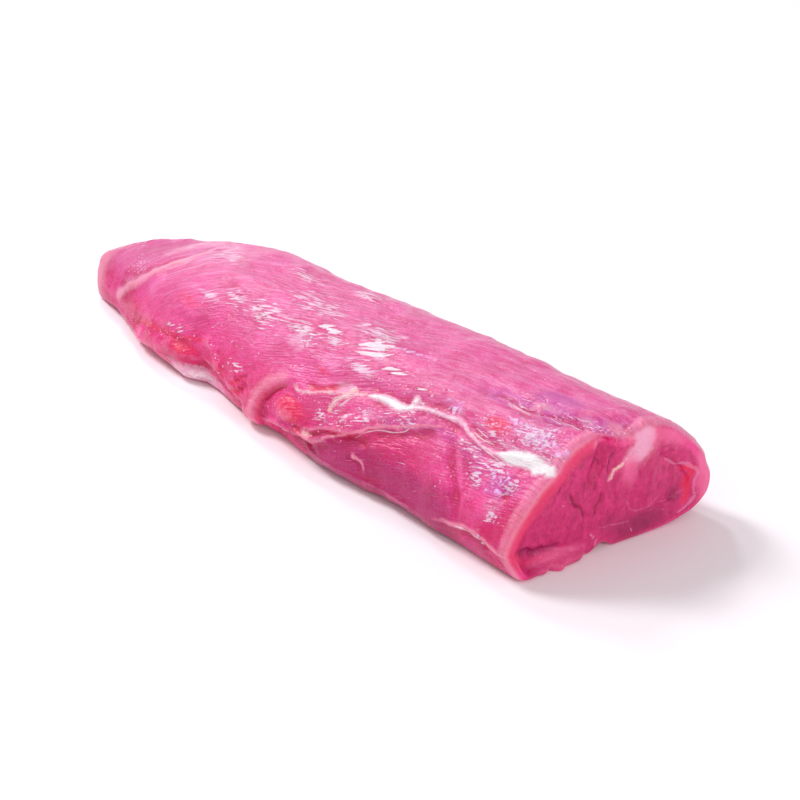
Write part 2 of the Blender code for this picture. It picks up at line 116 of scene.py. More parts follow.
# Folds: the line, the humps across it as (height, place above the line, reach), and the shares of the line
# over which the fold comes in and goes out (0 where it runs on past the end), with the share that it skips
# first
FOLDS = (
    ("valley", ((0.9, -9.5, 7.0), (-2.3, 0.0, 8.0)), (0.9, 0.0, 0.0)),
    ("seam", ((-1.1, 0.0, 5.0),), (0.2, 0.0, 0.0)),
    ("fat", ((0.9, 0.0, 1.9),), (0.1, 0.1, 0.28)),
    ("lap", ((0.9, 2.5, 5.0), (-0.7, -2.5, 3.5), (0.5, 0.0, 0.9)), (0.2, 0.2, 0.0)),
    ("torn edge", ((0.6, 1.0, 1.6),), (0.2, 0.3, 0.0)),
    ("tail ridge", ((0.8, 0.0, 2.8), (-0.7, 4.0, 3.5)), (0.1, 0.5, 0.0)),
    ("tail crease", ((1.1, -5.0, 4.5),), (0.2, 0.35, 0.0)),
    ("tail crease", ((-0.6, 0.0, 3.0),), (0.2, 0.2, 0.0)),
    ("shoulder", ((0.8, 0.0, 3.0),), (0.25, 0.25, 0.0)),
    ("long crease", ((-1.1, 0.0, 2.2),), (0.2, 0.3, 0.0)),
    ("short crease", ((-0.6, 0.0, 1.8),), (0.3, 0.5, 0.0)),
    ("back furrow", ((0.7, -6.0, 6.0), (-1.2, 0.0, 5.0)), (0.3, 0.3, 0.0)),
    ("back seam", ((0.5, 5.0, 5.0), (-0.8, 0.0, 4.0)), (0.3, 0.25, 0.0)),
    ("lip crease", ((-0.9, 0.0, 1.5),), (0.3, 0.1, 0.0)),
    ("seam crease", ((-0.8, 1.0, 1.8), (0.4, -0.6, 1.2)), (0.2, 0.3, 0.0)),
    ("torn crease", ((-0.9, 0.0, 1.4), (0.4, 1.6, 1.4)), (0.2, 0.2, 0.0)),
    ("cheek crease", ((-0.6, 0.0, 1.3), (0.4, 1.6, 1.6)), (0.2, 0.3, 0.0)),
    ("left crease", ((-0.6, 0.0, 1.2),), (0.3, 0.3, 0.0)),
    ("left crease low", ((-0.6, 0.0, 1.2),), (0.3, 0.3, 0.0)),
    ("tail band", ((0.3, 0.0, 2.5),), (0.2, 0.3, 0.0)),
    ("membrane edge", ((0.4, 0.0, 0.9), (-0.5, 2.0, 2.0)), (0.1, 0.0, 0.0)),
)

# Ledges, where the surface drops below the line: the line, the drop, how wide it is, and the fades as for a
# fold
LEDGES = (
    ("torn edge", -2.6, 1.0, (0.15, 0.6, 0.1)),
    ("undercut", -1.8, 1.2, (0.2, 0.12, 0.0)),
    ("skin edge", -1.1, 0.9, (0.25, 0.0, 0.0)),
)
LEDGE_FOOT = -8.0
LEDGE_FOOT_FADE = 6.0

# The lip, a fold that lies over its left side: its height and half its width, from its start to its lower end
LIP_HIGH = (0.6, 2.3)
LIP_HALF = (2.6, 5.0)
LIP_EDGE = 2.0
LIP_SLOPE = 1.95
LIP_FADES = (0.3, 0.12, 0.0)

# Swellings and hollows: centre along, centre round, reach along, reach round and height
MOUNDS = (
    (-21.5, 7.0, 10.5, 6.5, 2.2),
    (-79.0, 6.8, 9.0, 3.5, -1.2),
    (67.0, 12.0, 13.0, 11.0, 1.0),
    (70.5, 18.0, 4.0, 2.5, -0.7),
    (22.8, 27.8, 1.6, 2.2, 0.9),
    (54.6, 48.7, 3.0, 2.6, 0.8),
    (13.8, 10.2, 3.0, 1.8, -0.7),
)

# Soft unevenness all over, as height, length along and number of swells round, and what stays plain
SWELLS = ((0.45, 17.0, 9), (0.3, 8.0, 20))
FOOT_PLAIN = 2.5
TIP_PLAIN = 4.0

# The slip of fat under the tail, the loose foot and the notch under the cut, and the cut face itself
SLIP_X = -72.0
SLIP_REACH = 11.0
SLIP_OUT = 1.6
SLIP_THICK = 2.6
SLIP_EDGE = 1.2
SLIP_FROM = -12.0
SLIP_TO = 3.0
CUT_REACH = 14.0
LOOSE_FOOT_OUT = 2.4
LOOSE_FOOT_RAGGED = 1.2
LOOSE_FOOT_THICK = 2.4
LOOSE_FOOT_SEED = 2
LOOSE_FOOT_FROM = -29.5
LOOSE_FOOT_TO = 0.5
LOOSE_FOOT_FADE = 6.0
NOTCH_Y = 3.5
NOTCH_REACH = 4.5
NOTCH_HIGH = 2.4
NOTCH_BELOW = 8.0
RIM = ((0, 3.0), (0.1, 3.6), (0.22, 3.4), (0.29, 2.4), (0.34, 3.6), (0.5, 4.0), (0.6, 3.5), (0.7, 2.0),
       (0.9, 1.5), (1, 3.0))
CUT_MIDDLE_HEIGHT = 17.0
CUT_MIDDLE_WIDE = 0.42
CUT_MIDDLE_HIGH = 0.02
CUT_SAG = 1.0
CUT_SAG_REACH = 6.0
CUT_VALLEY = ((34, 40), (32.5, 31), (30, 25), (28, 19))
CUT_VALLEY_DEEP = 2.6
CUT_VALLEY_REACH = (4.5, 2.5)
CUT_VALLEY_FADE = 0.5
END_BAND = 9.0
END_BAND_STEP = 1.0
END_BAND_FROM = 50.0
END_BAND_REACH = 8.0
EDGE = 1.5

# Rows of points: closer where the folds are and near both ends
ROWS = 330
POINTS = 240
ROW_DENSITY = ((TAIL_X, 3.0), (-143, 1.3), (-120, 0.9), (-60, 0.95), (-40, 1.15), (10, 1.15), (40, 1.0),
               (66, 1.2), (CUT_X, 1.7))
POINT_DENSITY = ((0, 1.3), (0.15, 1.25), (0.3, 0.95), (0.5, 0.8), (0.7, 0.5), (0.85, 0.6), (1, 1.3))
RIM_ROWS = 9
CUT_ROWS = 52
TIP_ROWS = 6
TIP_BULGE = 1.4
TIP_TURN = 0.95
SEAM_SHARE = 0.75
FINE = 2000
TRAIL_STEPS = 12
QUARTER_STEPS = 90


def along(at, pairs):
    """Smooth curve through (place, value) pairs, which never overshoots them."""
    places, values = np.array(pairs, float).T
    gap = np.diff(places)
    rise = np.diff(values) / gap
    same_way = rise[:-1] * rise[1:] > 0
    before = np.where(same_way, rise[:-1], 1.0)
    after = np.where(same_way, rise[1:], 1.0)
    inner = np.where(same_way, 2 * before * after / (before + after), 0.0)
    slope = np.concatenate([rise[:1], inner, rise[-1:]])
    at = np.clip(at, places[0], places[-1])
    i = np.clip(np.searchsorted(places, at, side="right") - 1, 0, len(gap) - 1)
    s = (at - places[i]) / gap[i]
    from_values = values[i] * (1 + 2 * s) * (1 - s) ** 2 + values[i + 1] * s * s * (3 - 2 * s)
    from_slopes = slope[i] * s * (1 - s) ** 2 - slope[i + 1] * s * s * (1 - s)
    return from_values + gap[i] * from_slopes


def ease(q):
    """0 up to q = 0, 1 from q = 1, and smooth between."""
    q = np.clip(q, 0, 1)
    return q * q * (3 - 2 * q)


def hump(q):
    """1 at q = 0, falling smoothly to 0 at -1 and 1."""
    return np.clip(1 - q * q, 0, 1) ** 2


def uneven(seed, u, v, size=64):
    """Smooth random height from -1 to 1, with one swell to each unit, which repeats after its size."""
    table = np.random.default_rng(seed).uniform(-1, 1, (size, size))
    i, j = np.floor(u).astype(int), np.floor(v).astype(int)
    s, t = ease(u - i), ease(v - j)
    i0, j0, i1, j1 = i % size, j % size, (i + 1) % size, (j + 1) % size
    low = table[i0, j0] * (1 - s) + table[i1, j0] * s
    high = table[i0, j1] * (1 - s) + table[i1, j1] * s
    return low * (1 - t) + high * t


def rough(x, around, high, long, wide, seed):
    """Swells of one height, length along and width round."""
    return high * uneven(seed, x / long, around / wide)


def spread(count, density):
    """Places over the whole range of the (place, density) pairs, closer where the density is higher."""
    fine = np.linspace(density[0][0], density[-1][0], FINE)
    total = np.cumsum(along(fine, density))
    return np.interp(np.linspace(total[0], total[-1], count), total, fine)


def run_along(points):
    """Distance of each point from the first, along the line through them."""
    return np.concatenate([[0], np.cumsum(np.hypot(*np.diff(points, axis=0).T))])


def trail(points):
    """A fold's line as many short steps on one smooth curve."""
    points = np.array(points, float)
    run = run_along(points)
    at = np.linspace(0, run[-1], TRAIL_STEPS * len(points))
    return np.stack([along(at, np.stack([run, part], 1)) for part in points.T], 1)


def beside(x, around, line):
    """Share of the line at its nearest spot, 0 to 1, and the distance from it, positive on its upper side."""
    share, off = np.zeros(x.shape), np.full(x.shape, np.inf)
    curve = trail(line)
    steps = len(curve) - 1
    for k in range(steps):
        (x0, a0), (dx, da) = curve[k], curve[k + 1] - curve[k]
        t = np.clip(((x - x0) * dx + (around - a0) * da) / (dx * dx + da * da), 0, 1)
        ox, oa = x - x0 - t * dx, around - a0 - t * da
        distance = np.hypot(ox, oa)
        nearer = distance < np.abs(off)
        off = np.where(nearer, distance * np.where(dx * oa - da * ox < 0, -1, 1), off)
        share = np.where(nearer, (k + t) / steps, share)
    return share, off


def ends(share, start, stop, skip):
    """Brings a fold in over a first share of its line, after what it skips, and lets it out over its last."""
    out = ease((1 - share) / stop) if stop else 1.0
    return ease((share - skip) / start) * out


def mound(x, around, middle_x, middle_a, reach_x, reach_a, height):
    """A round swelling, or a hollow where its height is negative."""
    return height * hump(np.hypot((x - middle_x) / reach_x, (around - middle_a) / reach_a))


def quarter(fullness):
    """Cosine and sine like pair that runs round one quarter of a section."""
    angle = np.linspace(0, np.pi / 2, QUARTER_STEPS)
    return np.cos(angle) ** (2 / fullness), np.sin(angle) ** (2 / fullness)


def section(x):
    """Closed outline (across, up) from the widest spot of the front, over the top to the back, and under."""
    front, back, top = along(x, FRONT), along(x, BACK), along(x, TOP)
    front_crest, back_crest = along(x, FRONT_CREST), along(x, BACK_CREST)
    front_side, back_side = along(x, FRONT_SIDE), along(x, BACK_SIDE)
    front_foot, back_foot = along(x, FRONT_FOOT), along(x, BACK_FOOT)
    c, s = quarter(along(x, FRONT_FULL))
    upper_front = np.stack([front_crest - c * (front_crest - front), front_side + s * (top - front_side)], 1)
    c, s = quarter(along(x, BACK_FULL))
    upper_back = np.stack([back_crest + c * (back - back_crest), back_side + s * (top - back_side)], 1)
    c, s = quarter(BACK_FOOT_FULL)
    lower_back = np.stack([back - back_foot * (1 - c), back_side * (1 - s)], 1)
    c, s = quarter(FRONT_FOOT_FULL)
    lower_front = np.stack([front + front_foot * (1 - c), front_side * (1 - s)], 1)
    return np.concatenate([upper_front, upper_back[::-1], lower_back[1:], lower_front[::-1]])


def plain_form(stations, shares):
    """Rows of points on the smooth loft, each point's distance along and round it, and each row's girth."""
    points = np.empty((len(stations), len(shares), 3))
    girth = np.empty((len(stations), 1))
    for row, x in enumerate(stations):
        outline = section(x)
        run = run_along(outline)
        girth[row] = run[-1]
        points[row, :, 1] = np.interp(shares * run[-1], run, outline[:, 0])
        points[row, :, 2] = np.interp(shares * run[-1], run, outline[:, 1])
        lean = along(x, ((TAIL_X, 0), (LEAN_FROM, 0), (CUT_X, np.tan(CUT_ANGLE))))
        points[row, :, 0] = x + lean * (points[row, :, 1] - AXIS_Y)
    far_side = shares > SEAM_SHARE
    around = np.where(far_side, shares - 1, shares) * girth
    return points, np.repeat(stations[:, None], len(shares), 1), around, girth


def square_to(points):
    """Directions square to the rows of points, outward."""
    round_way = np.roll(points, -1, 1) - np.roll(points, 1, 1)
    normal = np.cross(np.gradient(points, axis=0), round_way)
    return normal / np.linalg.norm(normal, axis=-1, keepdims=True)


# Slope of the fibres, as millimetres round for each millimetre along
FIBRE_SLOPE = ((TAIL_X, 4.5), (-125, 4), (-112, 2), (-100, 1), (-60, 0.35), (0, 0.4), (40, 0.2), (CUT_X, 0.2))

# How often heights are averaged with their neighbours, and the rise that counts as fully raised or sunk, for
# the painted highlight on what stands out and the painted shade in what is sunk
BLURS = 22
HOLLOW = 0.35

# How far the lines other than the smooth ones are drawn out of true, along and round, and over what length
SMOOTH = ("lip", "fat")
RAGGED = 0.6
RAGGED_LENGTH = 2.6
RAGGED_SEEDS = (35, 36)

# Fine relief that the solid leaves out, as height, length along, width round and seed: bundles of fibres
# and small dents all over, and ripples of the fibres where the top is drawn together
BUNDLES = ((0.12, 21, 3.1, 41), (0.08, 9, 1.7, 42))
DENTS = ((0.28, 5.5, 4.5, 43), (0.12, 2.3, 2.1, 44))
RIPPLES = (0.3, 9, 1.6, 47)

# Sharp wrinkles of the membranes and of the torn edge, with the tissue that they show on and how far each
# wrinkle runs along for each millimetre round
TISSUE_WRINKLES = (
    ("crackle", 0.22, 3.4, 2.6, 45, 1.02),
    ("pleat", 0.3, 2.6, 9, 46, -0.4),
    ("torn", 1.0, 4.5, 2.3, 49, 1.8),
)
SHARPNESS = 0.7

# Rings round the lump beside the lip: its middle and reach, along and round, how much they are drawn out
# along it, how high and how close together they are, and how they waver
LUMP = (-20, 8.5, 12, 8)
LUMP_LONG = 1.5
RING_HIGH = 0.2
RINGS = 2.1
RING_WAVER = (1.6, 4, 3, 48)

# How high the fat stands, and from what depth in it
FAT_HIGH = 0.35
FAT_RISE = (-0.4, 1.6)


def across_fibres(x, around):
    """Distance round that stays the same along each fibre."""
    fine = np.linspace(TAIL_X, CUT_X, FINE)
    turned = np.cumsum(along(fine, FIBRE_SLOPE)) * (fine[1] - fine[0])
    return around - np.interp(x, fine, turned)


def near_lines(x, around, lines):
    """Each line's share and distance at every point, with the points moved a little so that it wavers."""
    u, v = x / RAGGED_LENGTH, around / RAGGED_LENGTH
    moved = [place + RAGGED * uneven(seed, u, v) for place, seed in zip((x, around), RAGGED_SEEDS)]
    return {name: beside(*((x, around) if name in SMOOTH else moved), line) for name, line in lines.items()}


def relief(x, around, shares, near):
    """How far every fold, ledge and swelling stands out from the plain form, or is sunk into it."""
    share, off = near["lip"]
    half = LIP_HALF[0] + (LIP_HALF[1] - LIP_HALF[0]) * share
    height = LIP_HIGH[0] + (LIP_HIGH[1] - LIP_HIGH[0]) * share
    height = height * ease((off / half + LIP_SLOPE) / LIP_SLOPE) * ease((half - off) / LIP_EDGE)
    height = height * ends(share, *LIP_FADES)
    for name, humps, fades in FOLDS:
        share, off = near[name]
        across = sum(high * hump((off - above) / reach) for high, above, reach in humps)
        height = height + across * ends(share, *fades)
    for name, drop, width, fades in LEDGES:
        share, off = near[name]
        dropped = drop * ease(-off / width) * ends(share, *fades)
        height = height + dropped * ease((around - LEDGE_FOOT) / LEDGE_FOOT_FADE)
    height = height + sum(mound(x, around, *each) for each in MOUNDS)
    for seed, (high, length, count) in enumerate(SWELLS):
        height = height + high * uneven(seed, x / length, shares * count + 0 * x)
    return height


def wrinkled(x, around, high, long, wide, seed, slant):
    """Sharp valleys between rounded swells, which slant over the skin."""
    valleys = np.abs(uneven(seed, (x + slant * around) / long, around / wide)) ** SHARPNESS
    return high * (1 - 2 * valleys)


def fine_relief(x, around, tissue):
    """Bundles of fibres, small dents and the wrinkles of the membranes, which the solid leaves out."""
    across = across_fibres(x, around)
    height = sum(rough(x, across, *each) for each in BUNDLES)
    height = height + sum(rough(x, around, *each) for each in DENTS)
    height = height + rough(x, across, *RIPPLES) * tissue["ripple"]
    height = height + sum(wrinkled(x, around, *each) * tissue[name] for name, *each in TISSUE_WRINKLES)
    from_lump = np.hypot(x - LUMP[0], LUMP_LONG * (around - LUMP[1])) + rough(x, around, *RING_WAVER)
    height = height + RING_HIGH * np.cos(RINGS * from_lump) * mound(x, around, *LUMP, 1)
    return height + FAT_HIGH * ease((tissue["fat"] - FAT_RISE[0]) / FAT_RISE[1])


def blurred(height):
    """The heights averaged over a few neighbours, so that what stands out of them or is sunk can be told."""
    for _ in range(BLURS):
        height = (2 * height + np.roll(height, 1, 1) + np.roll(height, -1, 1)) / 4
        padded = np.concatenate([height[:1], height, height[-1:]])
        height = (2 * height + padded[:-2] + padded[2:]) / 4
    return height


def folded(points, height, x, around, shares):
    """The loft with its relief pushed out square to it. The underside keeps flat on the board."""
    height = height * ease(points[..., 2] / FOOT_PLAIN) * ease((x - TAIL_X) / TIP_PLAIN)
    points = points + square_to(points) * height[..., None]
    points[..., 2] = np.maximum(points[..., 2], 0)
    slip = ease((SLIP_THICK - points[..., 2]) / SLIP_EDGE) * hump((x - SLIP_X) / SLIP_REACH)
    points[..., 1] -= SLIP_OUT * slip * (around < SLIP_TO) * ease((around - SLIP_FROM) / SLIP_REACH)
    near_cut = ease((x - CUT_X + CUT_REACH) / CUT_REACH)
    notch = hump((points[..., 1] - NOTCH_Y) / NOTCH_REACH) * (points[..., 2] < NOTCH_BELOW)
    points[..., 2] += near_cut * NOTCH_HIGH * notch
    ragged = LOOSE_FOOT_RAGGED * uneven(LOOSE_FOOT_SEED, around / LOOSE_FOOT_THICK, 0 * x)
    loose = ease((around - LOOSE_FOOT_FROM) / LOOSE_FOOT_THICK)
    loose = loose * ease((LOOSE_FOOT_TO - around) / LOOSE_FOOT_FADE)
    points[..., 0] += near_cut * (loose * (LOOSE_FOOT_OUT + ragged) - along(shares, RIM))
    return points


# Tissues on the outside, and where painted sheen and glints go on it. Each has stripes, as (line, amount,
# place above the line, reach, fades), and round spots, as (centre along, centre round, reach along, reach
# round, amount)
SKIN = {
    "pale": ((("tail ridge", 1.0, 0.0, 3.4, (0.05, 0.4, 0.0)), ("tail band", 0.8, 0.0, 3.2, (0.2, 0.3, 0.0)),
              ("lip", 0.7, 0.8, 4.0, (0.3, 0.02, 0.0)), ("torn edge", 0.6, 0.4, 1.0, (0.1, 0.1, 0.0)),
              ("lap", 0.9, 0.0, 0.9, (0.1, 0.1, 0.0)), ("skin edge", 0.8, 0.6, 1.3, (0.3, 0.0, 0.0)),
              ("cheek crease", 0.8, 1.4, 1.2, (0.1, 0.3, 0.0)),
              ("membrane edge", 0.8, 0.0, 0.9, (0.1, 0.0, 0.0)),
              ("torn crease", 0.6, 1.5, 1.2, (0.1, 0.1, 0.0))),
             ((-149, 12, 14, 34, 1.2), (54.6, 48.7, 4, 3.4, 1.0), (-9, 4, 5, 3.5, 0.9), (77, 57, 7, 4, 0.9),
              (-20, 6.5, 8, 4.5, 0.4))),
    "raw": ((("seam crease", 1.0, 1.0, 2.2, (0.2, 0.3, 0.0)), ("torn crease", 0.9, 0.0, 1.6, (0.1, 0.2, 0.0)),
             ("tail crease", 0.8, 0.0, 2.2, (0.3, 0.0, 0.0)), ("lip crease", 0.7, 0.0, 1.8, (0.2, 0.1, 0.0)),
             ("left crease", 0.9, 0.0, 1.6, (0.3, 0.3, 0.0)),
             ("left crease low", 0.9, 0.0, 1.6, (0.3, 0.3, 0.0))),
            ((-19, 8.5, 12, 6.5, 1.4), (-12, 3, 8, 4, 1.2), (-25, -1, 9, 3.5, 1.0), (-79, 6, 13, 5, 1.0),
             (-60, 4, 10, 5, 0.7), (-85, 21, 14, 5, 0.7), (-124, 14, 14, 10, 0.5), (53, 34.5, 9, 5, 1.1),
             (71, 18, 5, 3.5, 1.0), (13.8, 10, 3.5, 2, 1.0), (-14, 24.5, 9, 3, 0.7), (25, 33, 9, 3, 0.5),
             (-108, 12, 10, 5, 0.5), (-6, 44, 14, 4, 0.5))),
    "veil": ((("valley", 1.1, 1.0, 7.5, (0.2, 0.0, 0.35)), ("fat", 0.7, -5.5, 6.0, (0.2, 0.25, 0.2)),
              ("short crease", 0.8, 3.0, 5.0, (0.2, 0.3, 0.0))),
             ((67, 20, 13, 9, 1.0), (67, 45.5, 6, 2, 1.0), (62, 25.5, 9, 3, 0.8), (-5, 39, 22, 5, 0.5),
              (57, 53, 15, 9, 1.5))),
    # Plates of dried membrane, which carry painted highlights
    "crackle": ((), ((66, 37, 21, 9, 1.1), (77, 37, 9, 8, 1.0), (36, 34, 11, 5, 1.0), (8, 43.5, 12, 5, 0.9),
                     (64, 46, 18, 5, 0.7), (66, 20, 14, 9, 0.9), (-1, 12, 7, 5, 0.7), (-26, 30, 9, 4, 0.6))),
    # Where painted glints of the wet skin go
    "wet_glints": ((("valley", 0.8, 0.0, 8.0, (0.4, 0.0, 0.3)), ("seam", 0.9, 4.0, 6.0, (0.2, 0.0, 0.55)),
             ("lap", 0.8, 5.0, 7.0, (0.2, 0.1, 0.0)), ("short crease", 0.9, 2.0, 6.0, (0.2, 0.2, 0.0))),
            ((66, 37, 20, 9, 1.2), (61, 24, 9, 6, 1.3), (71, 21, 8, 6, 1.3), (70, 11, 8, 5, 1.2),
             (67, 3, 7, 4, 1.1), (48, 25, 11, 5, 1.1), (57, 19, 8, 7, 1.2), (32, 35, 9, 4, 0.85),
             (36, 29, 6, 3, 1.0), (10, 17, 9, 4, 1.2), (25, 22, 9, 4, 1.2), (2, 15, 6, 4, 1.3),
             (-6, 12, 7, 4, 1.3), (-27, 29, 14, 5, 1.1), (-86, 11, 12, 4, 1.0), (-50, 10, 12, 5, 1.0),
             (56, 50, 20, 6, 0.8))),
    # Where painted glints go on the wrinkles of the film
    "film edge": ((("valley", 1.0, 1.0, 7.0, (0.4, 0.0, 0.35)), ("seam", 0.7, 3.0, 3.5, (0.2, 0.0, 0.65))),
                  ((60, 50.5, 20, 6, 1.0),)),
    "pleat": ((("lap", 1.0, 5.0, 6.5, (0.3, 0.2, 0.1)),), ((63, 22, 12, 5, 0.7), (62, 48, 18, 5, 0.6))),
    "torn": ((), ((-14, 2, 17, 6, 1.0), (-33, 1, 7, 5, 0.6), (2, 7, 9, 4, 0.6), (-45, 5, 9, 5, 0.7),
                  (-57, 4, 7, 4, 0.5))),
    "ripple": ((), ((-8, 41, 20, 8, 1.0), (-34, 36, 16, 8, 0.5), (-60, 30, 18, 10, 0.35))),
    # Where painted glints go along the fibres
    "fibre_glints": ((), ((-52, 30, 17, 8, 1.2), (-67, 28, 13, 6, 1.15), (-78, 26, 11, 5, 1.1),
                   (-58, 52, 17, 6, 1.15), (-33, 59, 13, 6, 1.2), (-35, 32, 17, 6, 1.2),
                   (-2, 31, 16, 4, 1.25), (-8, 46, 22, 8, 1.15), (-92, 44, 20, 12, 1.0),
                   (-40, 43, 26, 11, 1.1), (-20, 34, 18, 6, 1.1))),
    # Pools of juice, which carry painted glints
    "glinting_pool": ((), ((-4, 39.5, 15, 8, 1.3), (-24, 36.5, 12, 4.5, 1.15), (-36, 31.5, 9, 3, 1.0),
                  (-54, 29, 10, 4, 0.9), (10, 35, 10, 2.5, 1.2), (22, 33, 8, 2, 0.9))),
    # Where the painted lilac sheen goes
    "lilac_sheen": ((("fat", 0.7, -2.6, 2.6, (0.05, 0.3, 0.62)), ("tail ridge", 0.8, 1.5, 6.0, (0.05, 0.2, 0.0)),
               ("tail band", 0.8, 0.0, 5.0, (0.1, 0.2, 0.0))),
              ((-31, 27, 10, 6, 1.0), (-3, 23.5, 7, 4.5, 1.5), (-1, 18.5, 6, 3, 0.8), (38, 33, 8, 3, 0.8),
               (13, 19, 12, 4, 0.9), (69, 14, 9, 8, 0.8), (57, 50.5, 7, 3, 0.9), (69, 53, 8, 3.5, 0.8),
               (-95, 50, 30, 12, 0.7), (4, 37, 13, 4, 0.7), (60, 31, 8, 2.5, 0.8))),
    "cream": ((("strands", 1.0, 0.0, 2.6, (0.05, 0.2, 0.0)), ("fat", 0.8, 0.0, 1.8, (0.02, 0.4, 0.0))),
              ((-21, 15.5, 3, 2, 0.9), (-9, 5, 5, 2.5, 0.8))),
    "banded": ((), ((-108, 38, 28, 28, 1.0),)),
    # Beads of juice, with painted highlights as small sparks where they lie
    "dew": ((("lap", 0.5, 5.0, 7.5, (0.2, 0.1, 0.0)), ("seam", 0.45, 5.0, 5.0, (0.2, 0.1, 0.0)),
             ("tail crease", 0.5, -1.0, 3.5, (0.1, 0.1, 0.0)), ("shoulder", 0.5, 0.0, 4.0, (0.1, 0.1, 0.0)),
             ("seam crease", 0.5, -2.5, 2.5, (0.1, 0.1, 0.0))),
            ((-124, 18, 12, 10, 0.95), (68, 22, 12, 7, 0.5), (74, 12, 6, 5, 0.4), (-17, 57, 18, 4, 0.4),
             (-60, 25, 30, 14, 0.3), (20, 34, 22, 5, 0.4), (-30, 8, 20, 8, 0.25), (48, 16, 8, 12, 0.4))),
}

# Painted shade on the low side, where the meat is in its own shade: how much of it along the muscle, and
# from what height down and over what height
LOW_SIDE_SHADE = ((TAIL_X, 0.0), (-110, 0.1), (-50, 0.25), (-28, 0.3), (-10, 0.6), (8, 1.1), (45, 1.15), (60, 0.5),
        (CUT_X, 0.4))
LOW_SIDE_SHADE_BELOW = 23.0
LOW_SIDE_SHADE_FADE = 16.0

# How far the skin faces upwards where its painted sheen of the light off the wet top begins to show, and
# over what more it shows in full
TOP_SHEEN_FROM = 0.15
TOP_SHEEN_FADE = 0.7

# The pale edge of the skin along the cut: how much of it, and how wide
PALE_RIM_AMOUNT = 0.65
PALE_RIM = 2.2

# Half the width of the fat that is left along the seam, which breaks up into threads towards the tail and
# ends in a thick patch at the cut. The knob and the slip of fat, as centre, reach and depth, with how torn
# they are
FAT_WIDE = ((-23, -0.8), (-20, 0.1), (-12, 0.0), (-4, -0.3), (5, -0.4), (7.5, 0.8), (12, 1.4), (20, 1.7),
            (24, 1.1), (29, 0.6), (41, 0.55), (46, 0.4), (52, 0.3), (57, 0.2), (60, 1.2), (64, 2.6),
            (73, 2.6), (76, 2.8), (80, 1.0))
FAT_KNOB = (22.7, 28.0, 1.5, 2.2, 1.5)
FAT_SLIP = (-72.0, -2.8, 10.0, 2.4, 0.55)
FAT_TORN = (0.4, 3.5, 2, 50)
MOST_FAT = 5.0

# Lines on the cut face, as (distance from its left, height)
FACE_LINES = {
    "streak": ((41.3, 27.8), (39.8, 26.8), (37.3, 25.6), (36.4, 23.4), (33.4, 21.4)),
    "pale band": ((37.8, 40.9), (44.1, 38.5), (47.3, 34), (47, 31), (44.7, 28.6), (41.9, 25.5), (40, 22)),
    "end line": ((54, 24.8), (59.1, 21.2), (63.5, 19.6), (66.4, 17.7), (67.5, 14), (67.2, 8.6), (65.2, 5.6),
                 (61.6, 4.3), (58.7, 3.2)),
    "recess": ((60, 18), (62.6, 17.6), (64.6, 17), (64, 13.8), (64, 9.5), (62.4, 7), (59.9, 4.8)),
    "sheath": ((40.7, 17.1), (43.3, 12.3), (45.4, 9.1), (49.4, 8.8), (54.1, 10.3), (58.7, 12.3)),
    "sheath low": ((47.4, 7.4), (53.2, 8.0), (59.6, 8.5)),
    "low line": ((28.9, 9.5), (33.7, 7.9), (38.4, 7.3), (44.3, 5.9), (46.8, 7.6)),
    "notch line": ((29.2, 7), (30.8, 4.5), (31, 2)),
    "foot groove": ((1.5, 8.8), (8, 7.4), (15, 6), (22, 4.5)),
    "crack 1": ((19.2, 29), (18.4, 26.2), (17.6, 22.4)),
    "crack 2": ((21.6, 24.3), (22.4, 21.0), (23.8, 18.2), (25.8, 16.0), (27.2, 13.2), (28.6, 10.6)),
    "crack 3": ((27.8, 25.2), (27.2, 21.5)),
    "crack 4": ((30.6, 23.5), (31.1, 20.5)),
    "crack 5": ((33.4, 21.4), (33.4, 17.5), (32.2, 14.9), (31.3, 13.2), (30.7, 9.5)),
    "crack 6": ((32.3, 31.5), (32.7, 28.0)),
    "crack 7": ((36.8, 33.5), (35.6, 28.0), (34.8, 23.9)),
    "crack 8": ((51.7, 27.5), (54.3, 27.9), (58.5, 28.3), (64.9, 28.1)),
    "crack 9": ((52.9, 26.1), (55.5, 26.1), (59.0, 25.7)),
    "crack 10": ((37.6, 19.5), (38.4, 15.0), (38.0, 12.0)),
    "crack 11": ((24.0, 32.5), (23.6, 29.0), (24.2, 26.0)),
}

# Cracks between the bundles of the cut, as how open each is, and the groove over the loose foot
CRACKS = {"crack 1": 1.0, "crack 2": 0.8, "crack 3": 0.6, "crack 4": 0.6, "crack 5": 0.7, "crack 6": 0.6,
          "crack 7": 0.9, "crack 8": 0.6, "crack 9": 0.5, "crack 10": 0.5, "crack 11": 0.5}
CRACK_FADES = (0.25, 0.25, 0.0)
CRACK_WIDE = 0.9
CRACK_DEEP = 0.9
GROOVE_WIDE = 1.8
GROOVE_DEEP = 1.0

# Unevenness of the cut, as height, width, height of a swell and seed, and how far in from the rim it is in
# full
CUT_GRAIN = ((0.35, 7, 9, 3), (0.2, 1.7, 4.5, 53))
CUT_GRAIN_FROM = 3.0
